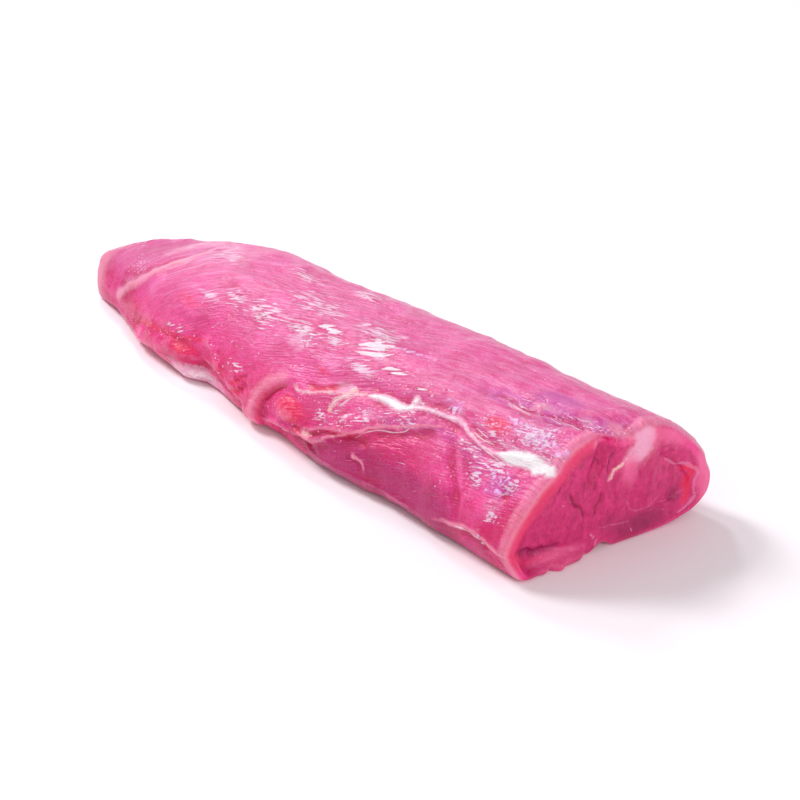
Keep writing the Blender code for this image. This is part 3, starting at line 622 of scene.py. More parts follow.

# Tissues on the cut face, with its painted sheen and some painted shade, in stripes and spots like those of
# the outside
FACE = {
    "pale": ((("pale band", 1.0, 0.0, 8.5, (0.02, 0.4, 0.0)),), ((31, 37, 5, 3, 0.8),)),
    "cream": ((("streak", 1.0, 0.0, 1.5, (0.1, 0.3, 0.0)),
               ("pale band", 0.5, -2.0, 3.0, (0.3, 0.1, 0.3))), ()),
    # Painted lilac sheen over the pale band
    "lilac_sheen": ((("pale band", 1.7, 0.0, 6.0, (0.02, 0.4, 0.0)),), ()),
    "raw": ((("recess", 1.0, 1.0, 2.6, (0.2, 0.3, 0.0)),
             ("foot groove", 0.6, -3.0, 3.5, (0.1, 0.1, 0.0))), ()),
    # Darker along the groove over the loose foot, painted shade in it, and in patches low on the cut
    "darker_low": ((("foot groove", 1.0, 0.5, 3.0, (0.1, 0.2, 0.0)),),
             ((48, 5, 22, 7, 1.0), (60, 10, 5, 7, 0.9), (13, 13, 9, 8, 0.5), (24, 14, 5, 9, 0.6),
              (38, 8, 12, 6, 0.7))),
    "blush": ((), ((60, 34, 18, 11, 1.0), (72, 18, 8, 24, 1.4), (43, 24, 6, 12, 0.8), (20, 33, 9, 5, 0.4),
                   (18, 3, 18, 5, 0.8))),
    "line": ((("end line", 0.9, 0.0, 0.9, (0.1, 0.1, 0.0)), ("sheath", 0.55, 0.0, 0.8, (0.2, 0.2, 0.0)),
              ("sheath low", 0.5, 0.0, 0.7, (0.2, 0.2, 0.0)), ("low line", 0.6, 0.0, 0.7, (0.2, 0.2, 0.0)),
              ("notch line", 1.0, 0.0, 0.8, (0.1, 0.1, 0.0))), ()),
}

# Bands of colour round the left of the rim, as amount, place past the rim and reach, and where they end
RIM_PALE = (1.35, -3.2, 2.8)
RIM_CORAL = (1.2, -0.8, 4.8)
RIM_LEFT = 34.0
RIM_LEFT_FADE = 8.0
RIM_FOOT = 2.0
RIM_FOOT_FADE = 5.0

# The rest of the cut: painted shade, darker towards its foot, how the fat thins out over the rim, and how
# far over the rim the skin and its fibres run
FOOT_SHADE = 0.5
FOOT_SHADE_BELOW = 6.0
FAT_THINS = 1.5
RIM_RUN = 3.0
FIBRE_RUN = 4.0


def amount_of(near, x, around, stripes, spots):
    """How much of a tissue, or of a painted sheen, glint or shade, there is at each point."""
    parts = [0 * x]
    for line, amount, above, reach, fades in stripes:
        share, off = near[line]
        parts.append(amount * hump((off - above) / reach) * ends(share, *fades))
    parts.extend(mound(x, around, *spot) for spot in spots)
    return np.maximum.reduce(parts)


def fat_depth(x, around, near):
    """Millimetres inside the nearest edge of the fat on the outside, negative beyond it."""
    strip = along(x, FAT_WIDE) - np.abs(near["fat"][1])
    torn = 1 + rough(x, around, *FAT_TORN)
    parts = [strip, *(deep * (torn - np.hypot((x - at) / reach_x, (around - middle) / reach_a))
                      for at, middle, reach_x, reach_a, deep in (FAT_KNOB, FAT_SLIP))]
    return np.clip(np.maximum.reduce(parts), -MOST_FAT, MOST_FAT)


def cut_rows(outline, shares):
    """Rows of points from the outline of the cut over its rim and in, with their places on the face."""
    facing = np.array([np.cos(CUT_ANGLE), -np.sin(CUT_ANGLE), 0])
    across = np.array([np.sin(CUT_ANGLE), np.cos(CUT_ANGLE), 0])
    s, h = outline @ across, outline[:, 2]
    rim = along(shares, RIM)
    middle = np.array([(s.max() + s.min()) / 2, CUT_MIDDLE_HEIGHT])
    inner = middle + (np.stack([s, h], 1) - middle) * (CUT_MIDDLE_WIDE, CUT_MIDDLE_HIGH)
    reach = np.hypot(inner[:, 0] - s, inner[:, 1] - h)
    turn = np.linspace(0, np.pi / 2, RIM_ROWS + 1)[1:, None]
    inward = np.linspace(0, 1, CUT_ROWS + 1)[1:, None]
    depth = np.concatenate([rim * (1 - np.cos(turn)), rim + (reach - rim) * inward])
    plane = np.cos(CUT_ANGLE) * CUT_X - np.sin(CUT_ANGLE) * AXIS_Y
    sunk_rim = np.concatenate([rim * (1 - np.sin(turn)), 0 * rim * inward])
    s_at = s + (inner[:, 0] - s) * depth / reach
    h_at = h + (inner[:, 1] - h) * depth / reach
    from_left = s_at - s.min()
    near = near_lines(from_left, h_at, FACE_LINES)
    share, off = beside(from_left, h_at, CUT_VALLEY)
    standing = (outline @ facing + rim - plane) * (1 - ease((depth - LOOSE_FOOT_THICK) / EDGE))
    out = plane + standing - sunk_rim - CUT_SAG * ease((depth - rim) / CUT_SAG_REACH)
    valley = hump(off / (CUT_VALLEY_REACH[0] + (CUT_VALLEY_REACH[1] - CUT_VALLEY_REACH[0]) * share))
    out = out - CUT_VALLEY_DEEP * valley * ease((1 - share) / CUT_VALLEY_FADE) * ease(depth / EDGE)
    end_band = ease((from_left - END_BAND_FROM) / END_BAND_REACH) * ease((depth - END_BAND) / EDGE)
    relief_in = CRACK_DEEP * split(near) + GROOVE_DEEP * hump(near["foot groove"][1] / GROOVE_WIDE)
    relief_out = sum(rough(s_at, h_at, *each) for each in CUT_GRAIN) - relief_in
    out = out - END_BAND_STEP * end_band + ease((depth - rim) / CUT_GRAIN_FROM) * relief_out
    points = s_at[..., None] * across + out[..., None] * facing
    points[..., 2] = h_at
    return points, near, from_left, depth - rim


def split(near):
    """Amount along the cracks between the bundles of the cut face, 0 away from them."""
    return np.maximum.reduce([amount * hump(near[name][1] / CRACK_WIDE) * ends(near[name][0], *CRACK_FADES)
                              for name, amount in CRACKS.items()])


def rim_band(past_rim, amount, place, reach):
    """A band of colour that runs round the rim."""
    return amount * hump((past_rim - place) / reach)


def face_tissue(skin, near, from_left, height, past_rim):
    """Amount of each tissue, and of the painted light and shade, on the cut face, carried on from the outside
    round the rim.
    """
    own = {name: amount_of(near, from_left, height, *where) for name, where in FACE.items()}
    rim_left = ease((RIM_LEFT - from_left) / RIM_LEFT_FADE)
    own["pale"] = np.maximum(own["pale"], rim_band(past_rim, *RIM_PALE) * rim_left)
    own["coral"] = rim_band(past_rim, *RIM_CORAL) * rim_left * ease((height - RIM_FOOT) / RIM_FOOT_FADE)
    # Painted shade in the cracks between the bundles
    own["split"] = split(near) * ease(past_rim / RIM_RUN)
    # Painted shade, darker towards the foot of the cut
    own["deep"] = FOOT_SHADE * ease((FOOT_SHADE_BELOW - height) / FOOT_SHADE_BELOW)
    outside = ease((-past_rim - EDGE) / EDGE)
    merged = {name: own.get(name, 0 * past_rim) * (1 - outside) + amount * outside
              for name, amount in skin.items()}
    merged["fat"] = np.where(past_rim > 0, -MOST_FAT, skin["fat"] - FAT_THINS * (past_rim + RIM_RUN))
    merged["face"] = past_rim
    return merged


def muscle_rows():
    """Rows of points from the tail tip to the middle of the cut, their place on the fibres, and tissues with
    painted light and shade.
    """
    shares = spread(POINTS + 1, POINT_DENSITY)[:-1]
    shares = np.roll(shares, -np.searchsorted(shares, SEAM_SHARE, side="right"))
    points, x, around, girth = plain_form(spread(ROWS, ROW_DENSITY), shares)
    near = near_lines(x, around, LINES)
    tissue = {name: amount_of(near, x, around, *where) for name, where in SKIN.items()}
    tissue["fat"] = fat_depth(x, around, near)
    # Painted sheen: the skin that faces up is drawn paler, for the light off the wet top
    tissue["film"] = ease((square_to(points)[..., 2] - TOP_SHEEN_FROM) / TOP_SHEEN_FADE)
    height = relief(x, around, shares, near) + fine_relief(x, around, tissue)
    stands_out = (height - blurred(height)) / HOLLOW
    # Painted highlight on what stands out of the relief, and painted shade in what is sunk
    tissue["raised"] = np.clip(stands_out, 0, 1)
    tissue["hollow"] = np.clip(-stands_out, 0, 1)
    points = folded(points, height, x, around, shares)
    # Painted shade on the low side, where the meat is in its own shade
    tissue["deep"] = ease((LOW_SIDE_SHADE_BELOW - points[..., 2]) / LOW_SIDE_SHADE_FADE) * along(x, LOW_SIDE_SHADE)
    tissue["face"] = np.minimum(x - CUT_X, 0) - RIM_RUN
    tissue["pale"] = np.maximum(tissue["pale"], PALE_RIM_AMOUNT * ease((x - CUT_X + PALE_RIM) / PALE_RIM))
    tissue.update({name: 0 * x for name in ("darker_low", "blush", "line", "coral", "split")})
    turn = np.linspace(np.pi / 2, 0, TIP_ROWS + 1)[:-1, None] * TIP_TURN
    tip = points[0].mean(0)
    tip_out = TIP_BULGE * np.sin(turn)
    tip_rows = tip + (points[0] - tip) * np.cos(turn)[..., None] - tip_out[..., None] * (1, 0, 0)
    face_rows, face_near, from_left, past_rim = cut_rows(points[-1], shares)
    last = {name: amount[-1:] for name, amount in tissue.items()}
    face = face_tissue(last, face_near, from_left, face_rows[..., 2], past_rim)
    tissue = {name: np.concatenate([np.repeat(amount[:1], TIP_ROWS, 0), amount, face[name]])
              for name, amount in tissue.items()}
    run = np.concatenate([x[:1] - tip_out, x, CUT_X + past_rim + FIBRE_RUN])
    run = np.concatenate([run, run[:, :1]], 1)
    turned = np.concatenate([around, around[:, :1] + girth], 1)
    turned = np.pad(turned, ((TIP_ROWS, len(face_rows)), (0, 0)), "edge")
    rows = np.concatenate([tip_rows, points, face_rows])
    return rows, np.stack([run, across_fibres(run, turned)], -1), tissue, x, around


def centred_on_frame(rows):
    """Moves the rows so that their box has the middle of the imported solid's, with its foot on the floor."""
    low, high = rows.min((0, 1)), rows.max((0, 1))
    solid_low, solid_high = (np.array(corner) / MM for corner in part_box("tenderloin"))
    middle = (solid_low + solid_high) / 2 - (low + high) / 2
    return rows + np.array([middle[0], middle[1], solid_low[2] - low[2]])


def zipped(ring, across):
    """Triangles that close a flat ring, between the two halves from its left end to its right end."""
    count, left, right = len(ring), across.argmin(), across.argmax()
    upper = [(left + k) % count for k in range(1, (right - left) % count)]
    lower = [(left - k) % count for k in range(1, (left - right) % count)]
    faces = [(left, upper[0], lower[0]), (upper[-1], right, lower[-1])]
    i, j = 0, 0
    while i < len(upper) - 1 or j < len(lower) - 1:
        up_next = across[upper[i + 1]] if i < len(upper) - 1 else np.inf
        low_next = across[lower[j + 1]] if j < len(lower) - 1 else np.inf
        if up_next < low_next:
            faces.append((upper[i], upper[i + 1], lower[j]))
            i += 1
        else:
            faces.append((upper[i], lower[j + 1], lower[j]))
            j += 1
    return [tuple(int(ring[k]) for k in face[::-1]) for face in faces]


def muscle_mesh(name, rows, fibre_places, tissue):
    """One closed mesh with the tissues and the painted light and shade as attributes, and the fibres' run as
    its UV map.
    """
    count, ring = rows.shape[:2]
    index = np.arange(count * ring).reshape(count, ring)
    closed = np.concatenate([index, index[:, :1]], 1)
    bands = np.stack([closed[:-1, :-1], closed[1:, :-1], closed[1:, 1:], closed[:-1, 1:]], -1).reshape(-1, 4)
    places = np.stack([fibre_places[:-1, :-1], fibre_places[1:, :-1],
                       fibre_places[1:, 1:], fibre_places[:-1, 1:]], 2).reshape(-1, 2)
    ends_closed = [index[0].tolist(), *zipped(index[-1], rows[-1, :, 1])]
    mesh = bpy.data.meshes.new(name)
    mesh.from_pydata((rows.reshape(-1, 3) * MM).tolist(), [], bands.tolist() + ends_closed)
    corner = fibre_places[:, :-1].reshape(-1, 2)[np.concatenate(ends_closed)]
    uv = mesh.uv_layers.new(name="fibre")
    uv.data.foreach_set("uv", (np.concatenate([places, corner]) * MM).ravel())
    for layer, amount in tissue.items():
        attribute = mesh.attributes.new(layer, "FLOAT", "POINT")
        attribute.data.foreach_set("value", amount.ravel().astype(np.float32))
    mesh.shade_smooth()
    mesh.update()
    return mesh


def placed(name, data):
    """An object of this mesh, lamp or camera, put in the scene."""
    made = bpy.data.objects.new(name, data)
    bpy.context.scene.collection.objects.link(made)
    return made


rows, fibre_places, tissue, skin_x, skin_around = muscle_rows()
rows = centred_on_frame(rows)
muscle = placed("muscle", muscle_mesh("muscle", rows, fibre_places, tissue))


def tint(code):
    """Linear colour of an sRGB hex code."""
    share = np.array([int(code[k:k + 2], 16) for k in (1, 3, 5)]) / 255
    linear = np.where(share <= 0.04045, share / 12.92, ((share + 0.055) / 1.055) ** 2.4)
    return (*linear.tolist(), 1.0)


def material(name, settings):
    """A material with these settings on its shader."""
    made = bpy.data.materials.new(name)
    made.use_nodes = True
    for socket, value in settings.items():
        made.node_tree.nodes["Principled BSDF"].inputs[socket].default_value = value
    return made


def node(tree, kind, inputs=(), out=None, **settings):
    """Adds a node with its settings, links or sets its inputs by name or number, and gives an output."""
    made = tree.nodes.new(kind)
    for name, value in settings.items():
        setattr(made, name, value)
    for key, value in dict(inputs).items():
        socket = made.inputs[key] if isinstance(key, int) else next(
            s for s in made.inputs if s.name == key and s.enabled)
        if isinstance(value, bpy.types.NodeSocket):
            tree.links.new(value, socket)
        else:
            socket.default_value = value
    return made.outputs[out] if out else next((s for s in made.outputs if s.enabled), None)


# Raw lean pork: soft wet muscle, pink because it holds little blood, glossy from the juice that films it.
# Light goes a little way into it and comes out red, so edges glow. Every tissue over the lean is a layer of
# colour whose edge is torn by a pattern of real size, and so are the painted sheen, glints and shade.
LEAN_DEEP = "#da0e66"
LEAN_PINK = "#f23a90"
FACE_DEEP = "#bc0c5a"
FACE_PINK = "#e43080"

# The part of the clouds over which the lean goes from deep to pink, outside and on the cut, and how rough the
# wet skin is, with what the cut and the grit of the film add
LEAN_TONE = (0.79, 1.05)
FACE_TONE = (0.35, 0.95)
SKIN_ROUGH = 0.26
FACE_ROUGHER = 0.12
GRIT_ROUGHER = 0.2

# Colour patterns in millimetres, with their detail: clouds of the blood's colour, torn patches, ragged
# edges and the grain of the wet film
PATCH = 4.5
ROUND_PATTERNS = (("mottle", 12.0, 3), ("patch", PATCH, 2), ("rag", 1.3, 3), ("grit", 0.7, 2))
NOISE_ROUGH = 0.6

# Patterns drawn out along the fibres, as length and width: real fibres are under 0.1 mm wide, so bundles of
# them are drawn instead, with short flecks and long pools of juice between them, on which glints are painted
LONG_PATTERNS = (("fibre", 5.0, 0.6), ("fleck", 2.6, 0.8), ("glinting_pool", 8.0, 1.15), ("strand", 22.0, 2.0))

# Wrinkles of the film, its plates with how far their edges are bent and how wide a crack is, and the
# bundles of the cut with its grain, through, across and up
WRINKLE = 3.0
WRINKLE_WIDE = 0.022
PLATE = 2.8
PLATE_BENT = 6.0
PLATE_CRACK = (0.02, 0.3)
PLATE_TONE = (0.9, 1.8)
BUNDLE = 1.5
GRAIN = (1.4286, 1.9231, 4.1667)
GRAIN_TILT = 0.25

# Each layer: its tissue, or the light or shade that it paints, its pattern and how much of it, where it
# starts and is full, how much it hides, its colour
LAYERS = (
    # Painted sheen: the skin that faces up drawn paler, in three layers
    ("film", "patch", 0.6, 0.5, 1.3, 0.4, "#e66cb0"),
    ("film", "strand", 2.2, 1.9, 2.6, 0.4, "#f093c8"),
    ("film", "fibre", 2.4, 2.0, 2.6, 0.35, "#f9a8d6"),
    ("banded", "strand", 2.4, 1.7, 2.3, 0.5, "#f09ccc"),
    ("raw", "rag", 0.8, 0.7, 1.4, 0.75, "#f21c54"),
    ("veil", "patch", 0.9, 0.75, 1.5, 0.6, "#c850ac"),
    # Painted shade on the low side and at the foot of the cut
    ("deep", "patch", 0.6, 0.45, 1.2, 0.7, "#a2045c"),
    # Painted shade in what is sunk, and a painted highlight on what stands out
    ("hollow", "rag", 0.6, 0.75, 1.4, 0.55, "#c8104c"),
    ("raised", "rag", 0.6, 0.8, 1.5, 0.35, "#fb8cb6"),
    ("pale", "rag", 0.6, 0.4, 1.35, 0.75, "#fea0b8"),
    # Painted lilac sheen over membranes, ridges and the pale band of the cut
    ("lilac_sheen", "patch", 1.2, 0.95, 1.8, 0.6, "#fabadc"),
    # Darker along the groove over the loose foot, painted shade in it, and in patches low on the cut
    ("darker_low", "patch", 0.3, 0.4, 1.3, 0.75, "#860a4a"),
    ("blush", "patch", 0.5, 0.4, 1.2, 0.8, "#f86aa0"),
    ("coral", "rag", 0.5, 0.3, 1.6, 0.7, "#e62e60"),
    # Painted shade in the cracks of the cut
    ("split", "rag", 0.8, 0.6, 1.3, 0.75, "#7d0d3f"),
    ("line", "rag", 0.6, 0.6, 1.1, 0.5, "#f090b8"),
    ("cream", "rag", 1.6, 1.2, 1.9, 0.8, "#fdcfc6"),
    # Painted glints: white streaks along the fibres
    ("fibre_glints", "fibre", 3.8, 2.8, 3.15, 0.8, "#ffe6f6"),
    # Plates of dried membrane, drawn pale lilac and white as painted highlights
    ("crackle", "plate", 0.8, 0.85, 1.3, 0.75, "#f6c0fa"),
    ("crackle", "plate", 0.8, 1.3, 1.6, 0.8, "#fff2ff"),
    # Painted glints on the wrinkles of the film
    ("film edge", "wrinkle", 1.0, 1.5, 2.4, 0.55, "#fbdcf4"),
    # Painted glints in the pools of juice, each with a darker red rim painted round it
    ("glinting_pool", "glinting_pool", 3.8, 2.5, 2.75, 0.6, "#cc1c66"),
    ("glinting_pool", "glinting_pool", 3.8, 2.85, 3.0, 0.9, "#fff0fa"),
    # Painted glints of the wet skin, with darker flecks beside them
    ("wet_glints", "fleck", 3.8, 2.6, 2.9, 0.35, "#c41c70"),
    ("wet_glints", "fleck", 3.8, 2.9, 3.3, 0.75, "#fee8f8"),
    ("fat", "rag", 1.2, 0.1, 0.8, 0.75, "#f8c0d8"),
    ("fat", "rag", 1.2, 0.7, 1.7, 1.0, "#fffafa"),
    # Painted highlights: small pale sparks where the juice beads
    ("dew", "grit", 4.5, 3.4, 3.8, 0.6, "#fdd3ea"),
)

# Relief too fine for the mesh: the pattern, its height in millimetres and the tissue it shows on
BUMPS = (
    ("strand", 0.3, "skin"),
    ("fibre", 0.45, "skin"),
    ("rag", 0.3, "skin"),
    ("grit", 0.12, "skin"),
    ("plate", 0.25, "crackle"),
    ("fleck", 0.5, "wet_glints"),
    ("glinting_pool", 0.8, "glinting_pool"),
    ("fibre", 0.5, "fibre_glints"),
    ("grit", 0.35, "dew"),
    ("grain", 0.2, "on face"),
    ("bundle", 0.1, "on face"),
)

meat = material("raw lean pork", {
    "IOR": 1.4, "Coat Weight": 0.45, "Coat Roughness": 0.09, "Coat IOR": 1.36, "Subsurface Weight": 0.2,
    "Subsurface Radius": (1.0, 0.28, 0.35), "Subsurface Scale": 1.5 * MM})
tree = meat.node_tree
shader = tree.nodes["Principled BSDF"]
place = node(tree, "ShaderNodeTexCoord", out="Object")
run = node(tree, "ShaderNodeUVMap", uv_map="fibre")
shown = dict.fromkeys(("face", *(layer[0] for layer in LAYERS)))
amount = {name: node(tree, "ShaderNodeAttribute", out="Fac", attribute_name=name) for name in shown}

pattern = {}
for name, size, detail in ROUND_PATTERNS:
    pattern[name] = node(tree, "ShaderNodeTexNoise", {
        "Vector": place, "Scale": 1 / (size * MM), "Detail": detail, "Roughness": NOISE_ROUGH})
for name, length, width in LONG_PATTERNS:
    stretched = node(tree, "ShaderNodeMapping", {
        "Vector": run, "Scale": (1 / (length * MM), 1 / (width * MM), 1)})
    pattern[name] = node(tree, "ShaderNodeTexNoise", {
        "Vector": stretched, "Scale": 1.0, "Detail": 2.0, "Distortion": 0.5})

# Fine wrinkles of the wet film: thin lines that wander where a noise passes its middle, drawn pale as
# painted glints off the wrinkles
wander = node(tree, "ShaderNodeTexNoise", {
    "Vector": place, "Scale": 1 / (WRINKLE * MM), "Detail": 1.5, "Distortion": 0.6})
wander = node(tree, "ShaderNodeMath", {0: wander, 1: 0.5, 2: WRINKLE_WIDE}, operation="COMPARE")
wander = node(tree, "ShaderNodeMath", {0: pattern["grit"], 1: wander}, operation="MULTIPLY")
pattern["wrinkle"] = node(tree, "ShaderNodeMath", {0: wander, 1: 2.0}, operation="MULTIPLY")

# Plates of dried membrane: cells with dark cracks between them, each of its own brightness; the plates are
# drawn pale as painted highlights, the brightest white
bend = node(tree, "ShaderNodeTexNoise", {"Vector": place, "Scale": 1 / (PATCH * MM)}, out="Color")
bent = node(tree, "ShaderNodeMix", {"Factor": PLATE_BENT * MM, "A": run, "B": bend}, data_type="VECTOR")
cell = {"Vector": bent, "Scale": 1 / (PLATE * MM)}
plate_edge = node(tree, "ShaderNodeTexVoronoi", cell, feature="DISTANCE_TO_EDGE")
plate_tone = node(tree, "ShaderNodeTexVoronoi", cell, out="Color")
plate_tone = node(tree, "ShaderNodeSeparateColor", {"Color": plate_tone})
plate_inside = node(tree, "ShaderNodeMapRange", {
    "Value": plate_edge, "From Min": PLATE_CRACK[0], "From Max": PLATE_CRACK[1]})
plate_tone = node(tree, "ShaderNodeMath", {
    0: pattern["fleck"], 1: 1.8, 2: plate_tone}, operation="MULTIPLY_ADD")
plate_tone = node(tree, "ShaderNodeMapRange", {
    "Value": plate_tone, "From Min": PLATE_TONE[0], "From Max": PLATE_TONE[1]})
pattern["plate"] = node(tree, "ShaderNodeMath", {0: plate_inside, 1: plate_tone}, operation="MULTIPLY")

# The cut shows bundles of fibres end on, drawn out upwards by the knife, each a slightly other tone
bundle = {"Vector": place, "Scale": 1 / (BUNDLE * MM)}
bundle_edge = node(tree, "ShaderNodeTexVoronoi", bundle, feature="DISTANCE_TO_EDGE")
bundle_tone = node(tree, "ShaderNodeTexVoronoi", bundle, out="Color")
bundle_tone = node(tree, "ShaderNodeSeparateColor", {"Color": bundle_tone})
pattern["bundle"] = node(tree, "ShaderNodeMapRange", {"Value": bundle_edge, "From Max": 0.3})
drawn = node(tree, "ShaderNodeMapping", {
    "Vector": place, "Rotation": (GRAIN_TILT, 0, 0), "Scale": [1 / (size * MM) for size in GRAIN]})
pattern["grain"] = node(tree, "ShaderNodeTexNoise", {
    "Vector": drawn, "Scale": 1.0, "Detail": 3.0, "Roughness": NOISE_ROUGH})

# The lean outside and the lean of the cut, and the layers over both
tone = node(tree, "ShaderNodeMath", {
    0: pattern["grit"], 1: 0.8, 2: pattern["mottle"]}, operation="MULTIPLY_ADD")
tone = node(tree, "ShaderNodeMapRange", {
    "Value": tone, "From Min": LEAN_TONE[0], "From Max": LEAN_TONE[1]}, interpolation_type="SMOOTHSTEP")
colour = node(tree, "ShaderNodeMix", {
    "Factor": tone, "A": tint(LEAN_DEEP), "B": tint(LEAN_PINK)}, data_type="RGBA")
tone = node(tree, "ShaderNodeMath", {0: bundle_tone, 1: 0.25, 2: pattern["grain"]}, operation="MULTIPLY_ADD")
tone = node(tree, "ShaderNodeMapRange", {
    "Value": tone, "From Min": FACE_TONE[0], "From Max": FACE_TONE[1]})
face_colour = node(tree, "ShaderNodeMix", {
    "Factor": tone, "A": tint(FACE_DEEP), "B": tint(FACE_PINK)}, data_type="RGBA")
on_face = node(tree, "ShaderNodeMath", {
    0: pattern["rag"], 1: 1.2, 2: amount["face"]}, operation="MULTIPLY_ADD")
on_face = node(tree, "ShaderNodeMapRange", {
    "Value": on_face, "From Min": 0.0, "From Max": 1.4}, interpolation_type="SMOOTHSTEP")
colour = node(tree, "ShaderNodeMix", {"Factor": on_face, "A": colour, "B": face_colour}, data_type="RGBA")
for name, torn_by, share, start, full, cover, code in LAYERS:
    mask = node(tree, "ShaderNodeMath", {
        0: pattern[torn_by], 1: share, 2: amount[name]}, operation="MULTIPLY_ADD")
    mask = node(tree, "ShaderNodeMapRange", {
        "Value": mask, "From Min": start, "From Max": full, "To Max": cover}, interpolation_type="SMOOTHSTEP")
    colour = node(tree, "ShaderNodeMix", {"Factor": mask, "A": colour, "B": tint(code)}, data_type="RGBA")
tree.links.new(colour, shader.inputs["Base Color"])

# Bumps of the skin fade out over the rim, where the knife left it smooth
smooth_rim = node(tree, "ShaderNodeMapRange", {
    "Value": amount["face"], "From Min": -RIM_RUN, "From Max": -1.0, "To Min": 1.0, "To Max": 0.0})
where = {**amount, "on face": on_face, "skin": smooth_rim}
height = 0.0
for name, high, tissue_name in BUMPS:
    share = node(tree, "ShaderNodeMath", {0: where[tissue_name], 1: high}, operation="MULTIPLY")
    height = node(tree, "ShaderNodeMath", {0: pattern[name], 1: share, 2: height}, operation="MULTIPLY_ADD")
for socket, strength in (("Normal", 0.9), ("Coat Normal", 0.85)):
    bump = node(tree, "ShaderNodeBump", {"Height": height, "Distance": MM, "Strength": strength})
    tree.links.new(bump, shader.inputs[socket])

# The cut is duller than the skin, and both are a little uneven
roughness = node(tree, "ShaderNodeMath", {
    0: on_face, 1: FACE_ROUGHER, 2: SKIN_ROUGH}, operation="MULTIPLY_ADD")
roughness = node(tree, "ShaderNodeMath", {
    0: pattern["grit"], 1: GRIT_ROUGHER, 2: roughness}, operation="MULTIPLY_ADD")
tree.links.new(roughness, shader.inputs["Roughness"])

muscle.data.materials.append(meat)
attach(muscle, "root")
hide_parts("tenderloin")


# Threads of fat and connective tissue that were left when the fat was pulled off: soft cream cords about a
# millimetre thick or less, stretched over the seam and along the edges of the membranes, and grown fast to
# the meat. Each is given as its radius and its line.
THREADS = (
    (0.55, LINES["strands"]),
    (0.45, ((3.7, 23.6), (1.5, 21.1), (-0.2, 18.3), (-2.4, 16))),
    (0.4, ((5.0, 24.2), (2.8, 22.9), (-1.2, 20.8), (-4.1, 18.3), (-3.2, 15.6))),
    (0.3, ((-0.2, 22.8), (-4.4, 20.4), (-9, 19.0), (-14, 16.4), (-18.4, 15.2), (-21, 15.4))),
    (0.35, ((5.9, 8.0), (10.7, 11.9), (14.1, 14.6), (17.7, 16.4), (21.2, 17.2), (24.5, 18.7), (26.8, 20.8),
            (28.7, 21.4), (31.6, 23.3), (35.0, 24.0), (37.0, 25.3))),
    (0.3, ((44.0, 30.6), (47.9, 29.5), (50.8, 29.0), (54.2, 29.2), (58, 29.6))),
    (0.25, ((45, 31.6), (48.9, 30.7), (52.0, 30.2), (55, 30.4))),
    (0.3, ((50.5, 27.4), (54.1, 26.6), (58.4, 26.2), (62.5, 26.0))),
    (0.25, ((42.0, 41.9), (43.0, 43.8), (44.9, 45.2), (46.9, 46.3))),
    (0.3, ((44.5, 42.0), (46.9, 43.6), (52.7, 42.9), (56.9, 43.2), (60.5, 45.2))),
    (0.3, ((60.9, 46.2), (64.5, 47.8), (68.3, 48.6), (72.5, 48.0), (76, 48.6))),
    (0.25, ((62.6, 52.6), (66, 52.2), (69, 53.4), (72.6, 52.5))),
    (0.3, ((53, 1.7), (57.3, 2.7), (62.2, 3.5), (66.4, 3.3), (71, 2.7))),
)
THREAD_STEP = 0.8
THREAD_SIDES = 6
THREAD_SUNK = 0.55
THREAD_THINNEST = 0.35
THREAD_LUMP = 2.2
THREAD_LUMPY = 1.0
THREAD_LUMP_LEAST = 0.5
CREAM = "#f9c3cf"


def on_skin(line):
    """Points of a line given as (along, round), on the finished surface, and the directions square to it."""
    skin = rows[TIP_ROWS:TIP_ROWS + ROWS]
    normal = square_to(skin)
    found = []
    for x, around in trail(line):
        at = np.interp(x, skin_x[:, 0], np.arange(ROWS))
        low = min(int(at), ROWS - 2)
        near, far = ([np.interp(around, skin_around[row], part) for part in (*skin[row].T, *normal[row].T)]
                     for row in (low, low + 1))
        found.append(np.array(near) * (low + 1 - at) + np.array(far) * (at - low))
    return np.split(np.array(found), 2, axis=1)


thread_points, thread_edges, thread_radii = [], [], []
for radius, line in THREADS:
    spots, normals = on_skin(line)
    spots = spots - normals * radius * THREAD_SUNK
    first = len(thread_points)
    share = np.linspace(0, 1, len(spots))
    thread_points.extend((spots * MM).tolist())
    thread_edges.extend((first + k, first + k + 1) for k in range(len(spots) - 1))
    swollen = THREAD_THINNEST + (1 - THREAD_THINNEST) * hump(2 * share - 1)
    thread_radii.extend((radius * MM * swollen).tolist())
paths = bpy.data.meshes.new("threads")
paths.from_pydata(thread_points, thread_edges, [])
paths.attributes.new("radius_here", "FLOAT", "POINT").data.foreach_set("value", thread_radii)
threads = placed("threads", paths)

# Connective tissue: soft, pale cream and a little clear, with a dull shine from the juice on it
fat_thread = material("connective tissue", {
    "Base Color": tint(CREAM), "Roughness": 0.3, "Subsurface Weight": 0.3, "Subsurface Scale": 1.0 * MM})


def shape_tree(name, inputs, output):
    """A Geometry Nodes tree with these inputs, their sockets by name, and what the nodes read them from."""
    made = bpy.data.node_groups.new(name, "GeometryNodeTree")
    sockets = {label: made.interface.new_socket(name=label, in_out="INPUT", socket_type="NodeSocket" + kind)
               for label, kind in inputs.items()}
    made.interface.new_socket(name=output, in_out="OUTPUT", socket_type="NodeSocketGeometry")
    return made, sockets, made.nodes.new("NodeGroupInput").outputs


def end_of_tree(tree, shape, material_socket, output):
    """Makes the instances real and smooth, gives them their material, and ends the tree."""
    shape = node(tree, "GeometryNodeSetShadeSmooth", {0: shape})
    shape = node(tree, "GeometryNodeRealizeInstances", {"Geometry": shape})
    shape = node(tree, "GeometryNodeSetMaterial", {"Geometry": shape, "Material": material_socket})
    tree.links.new(shape, tree.nodes.new("NodeGroupOutput").inputs[output])


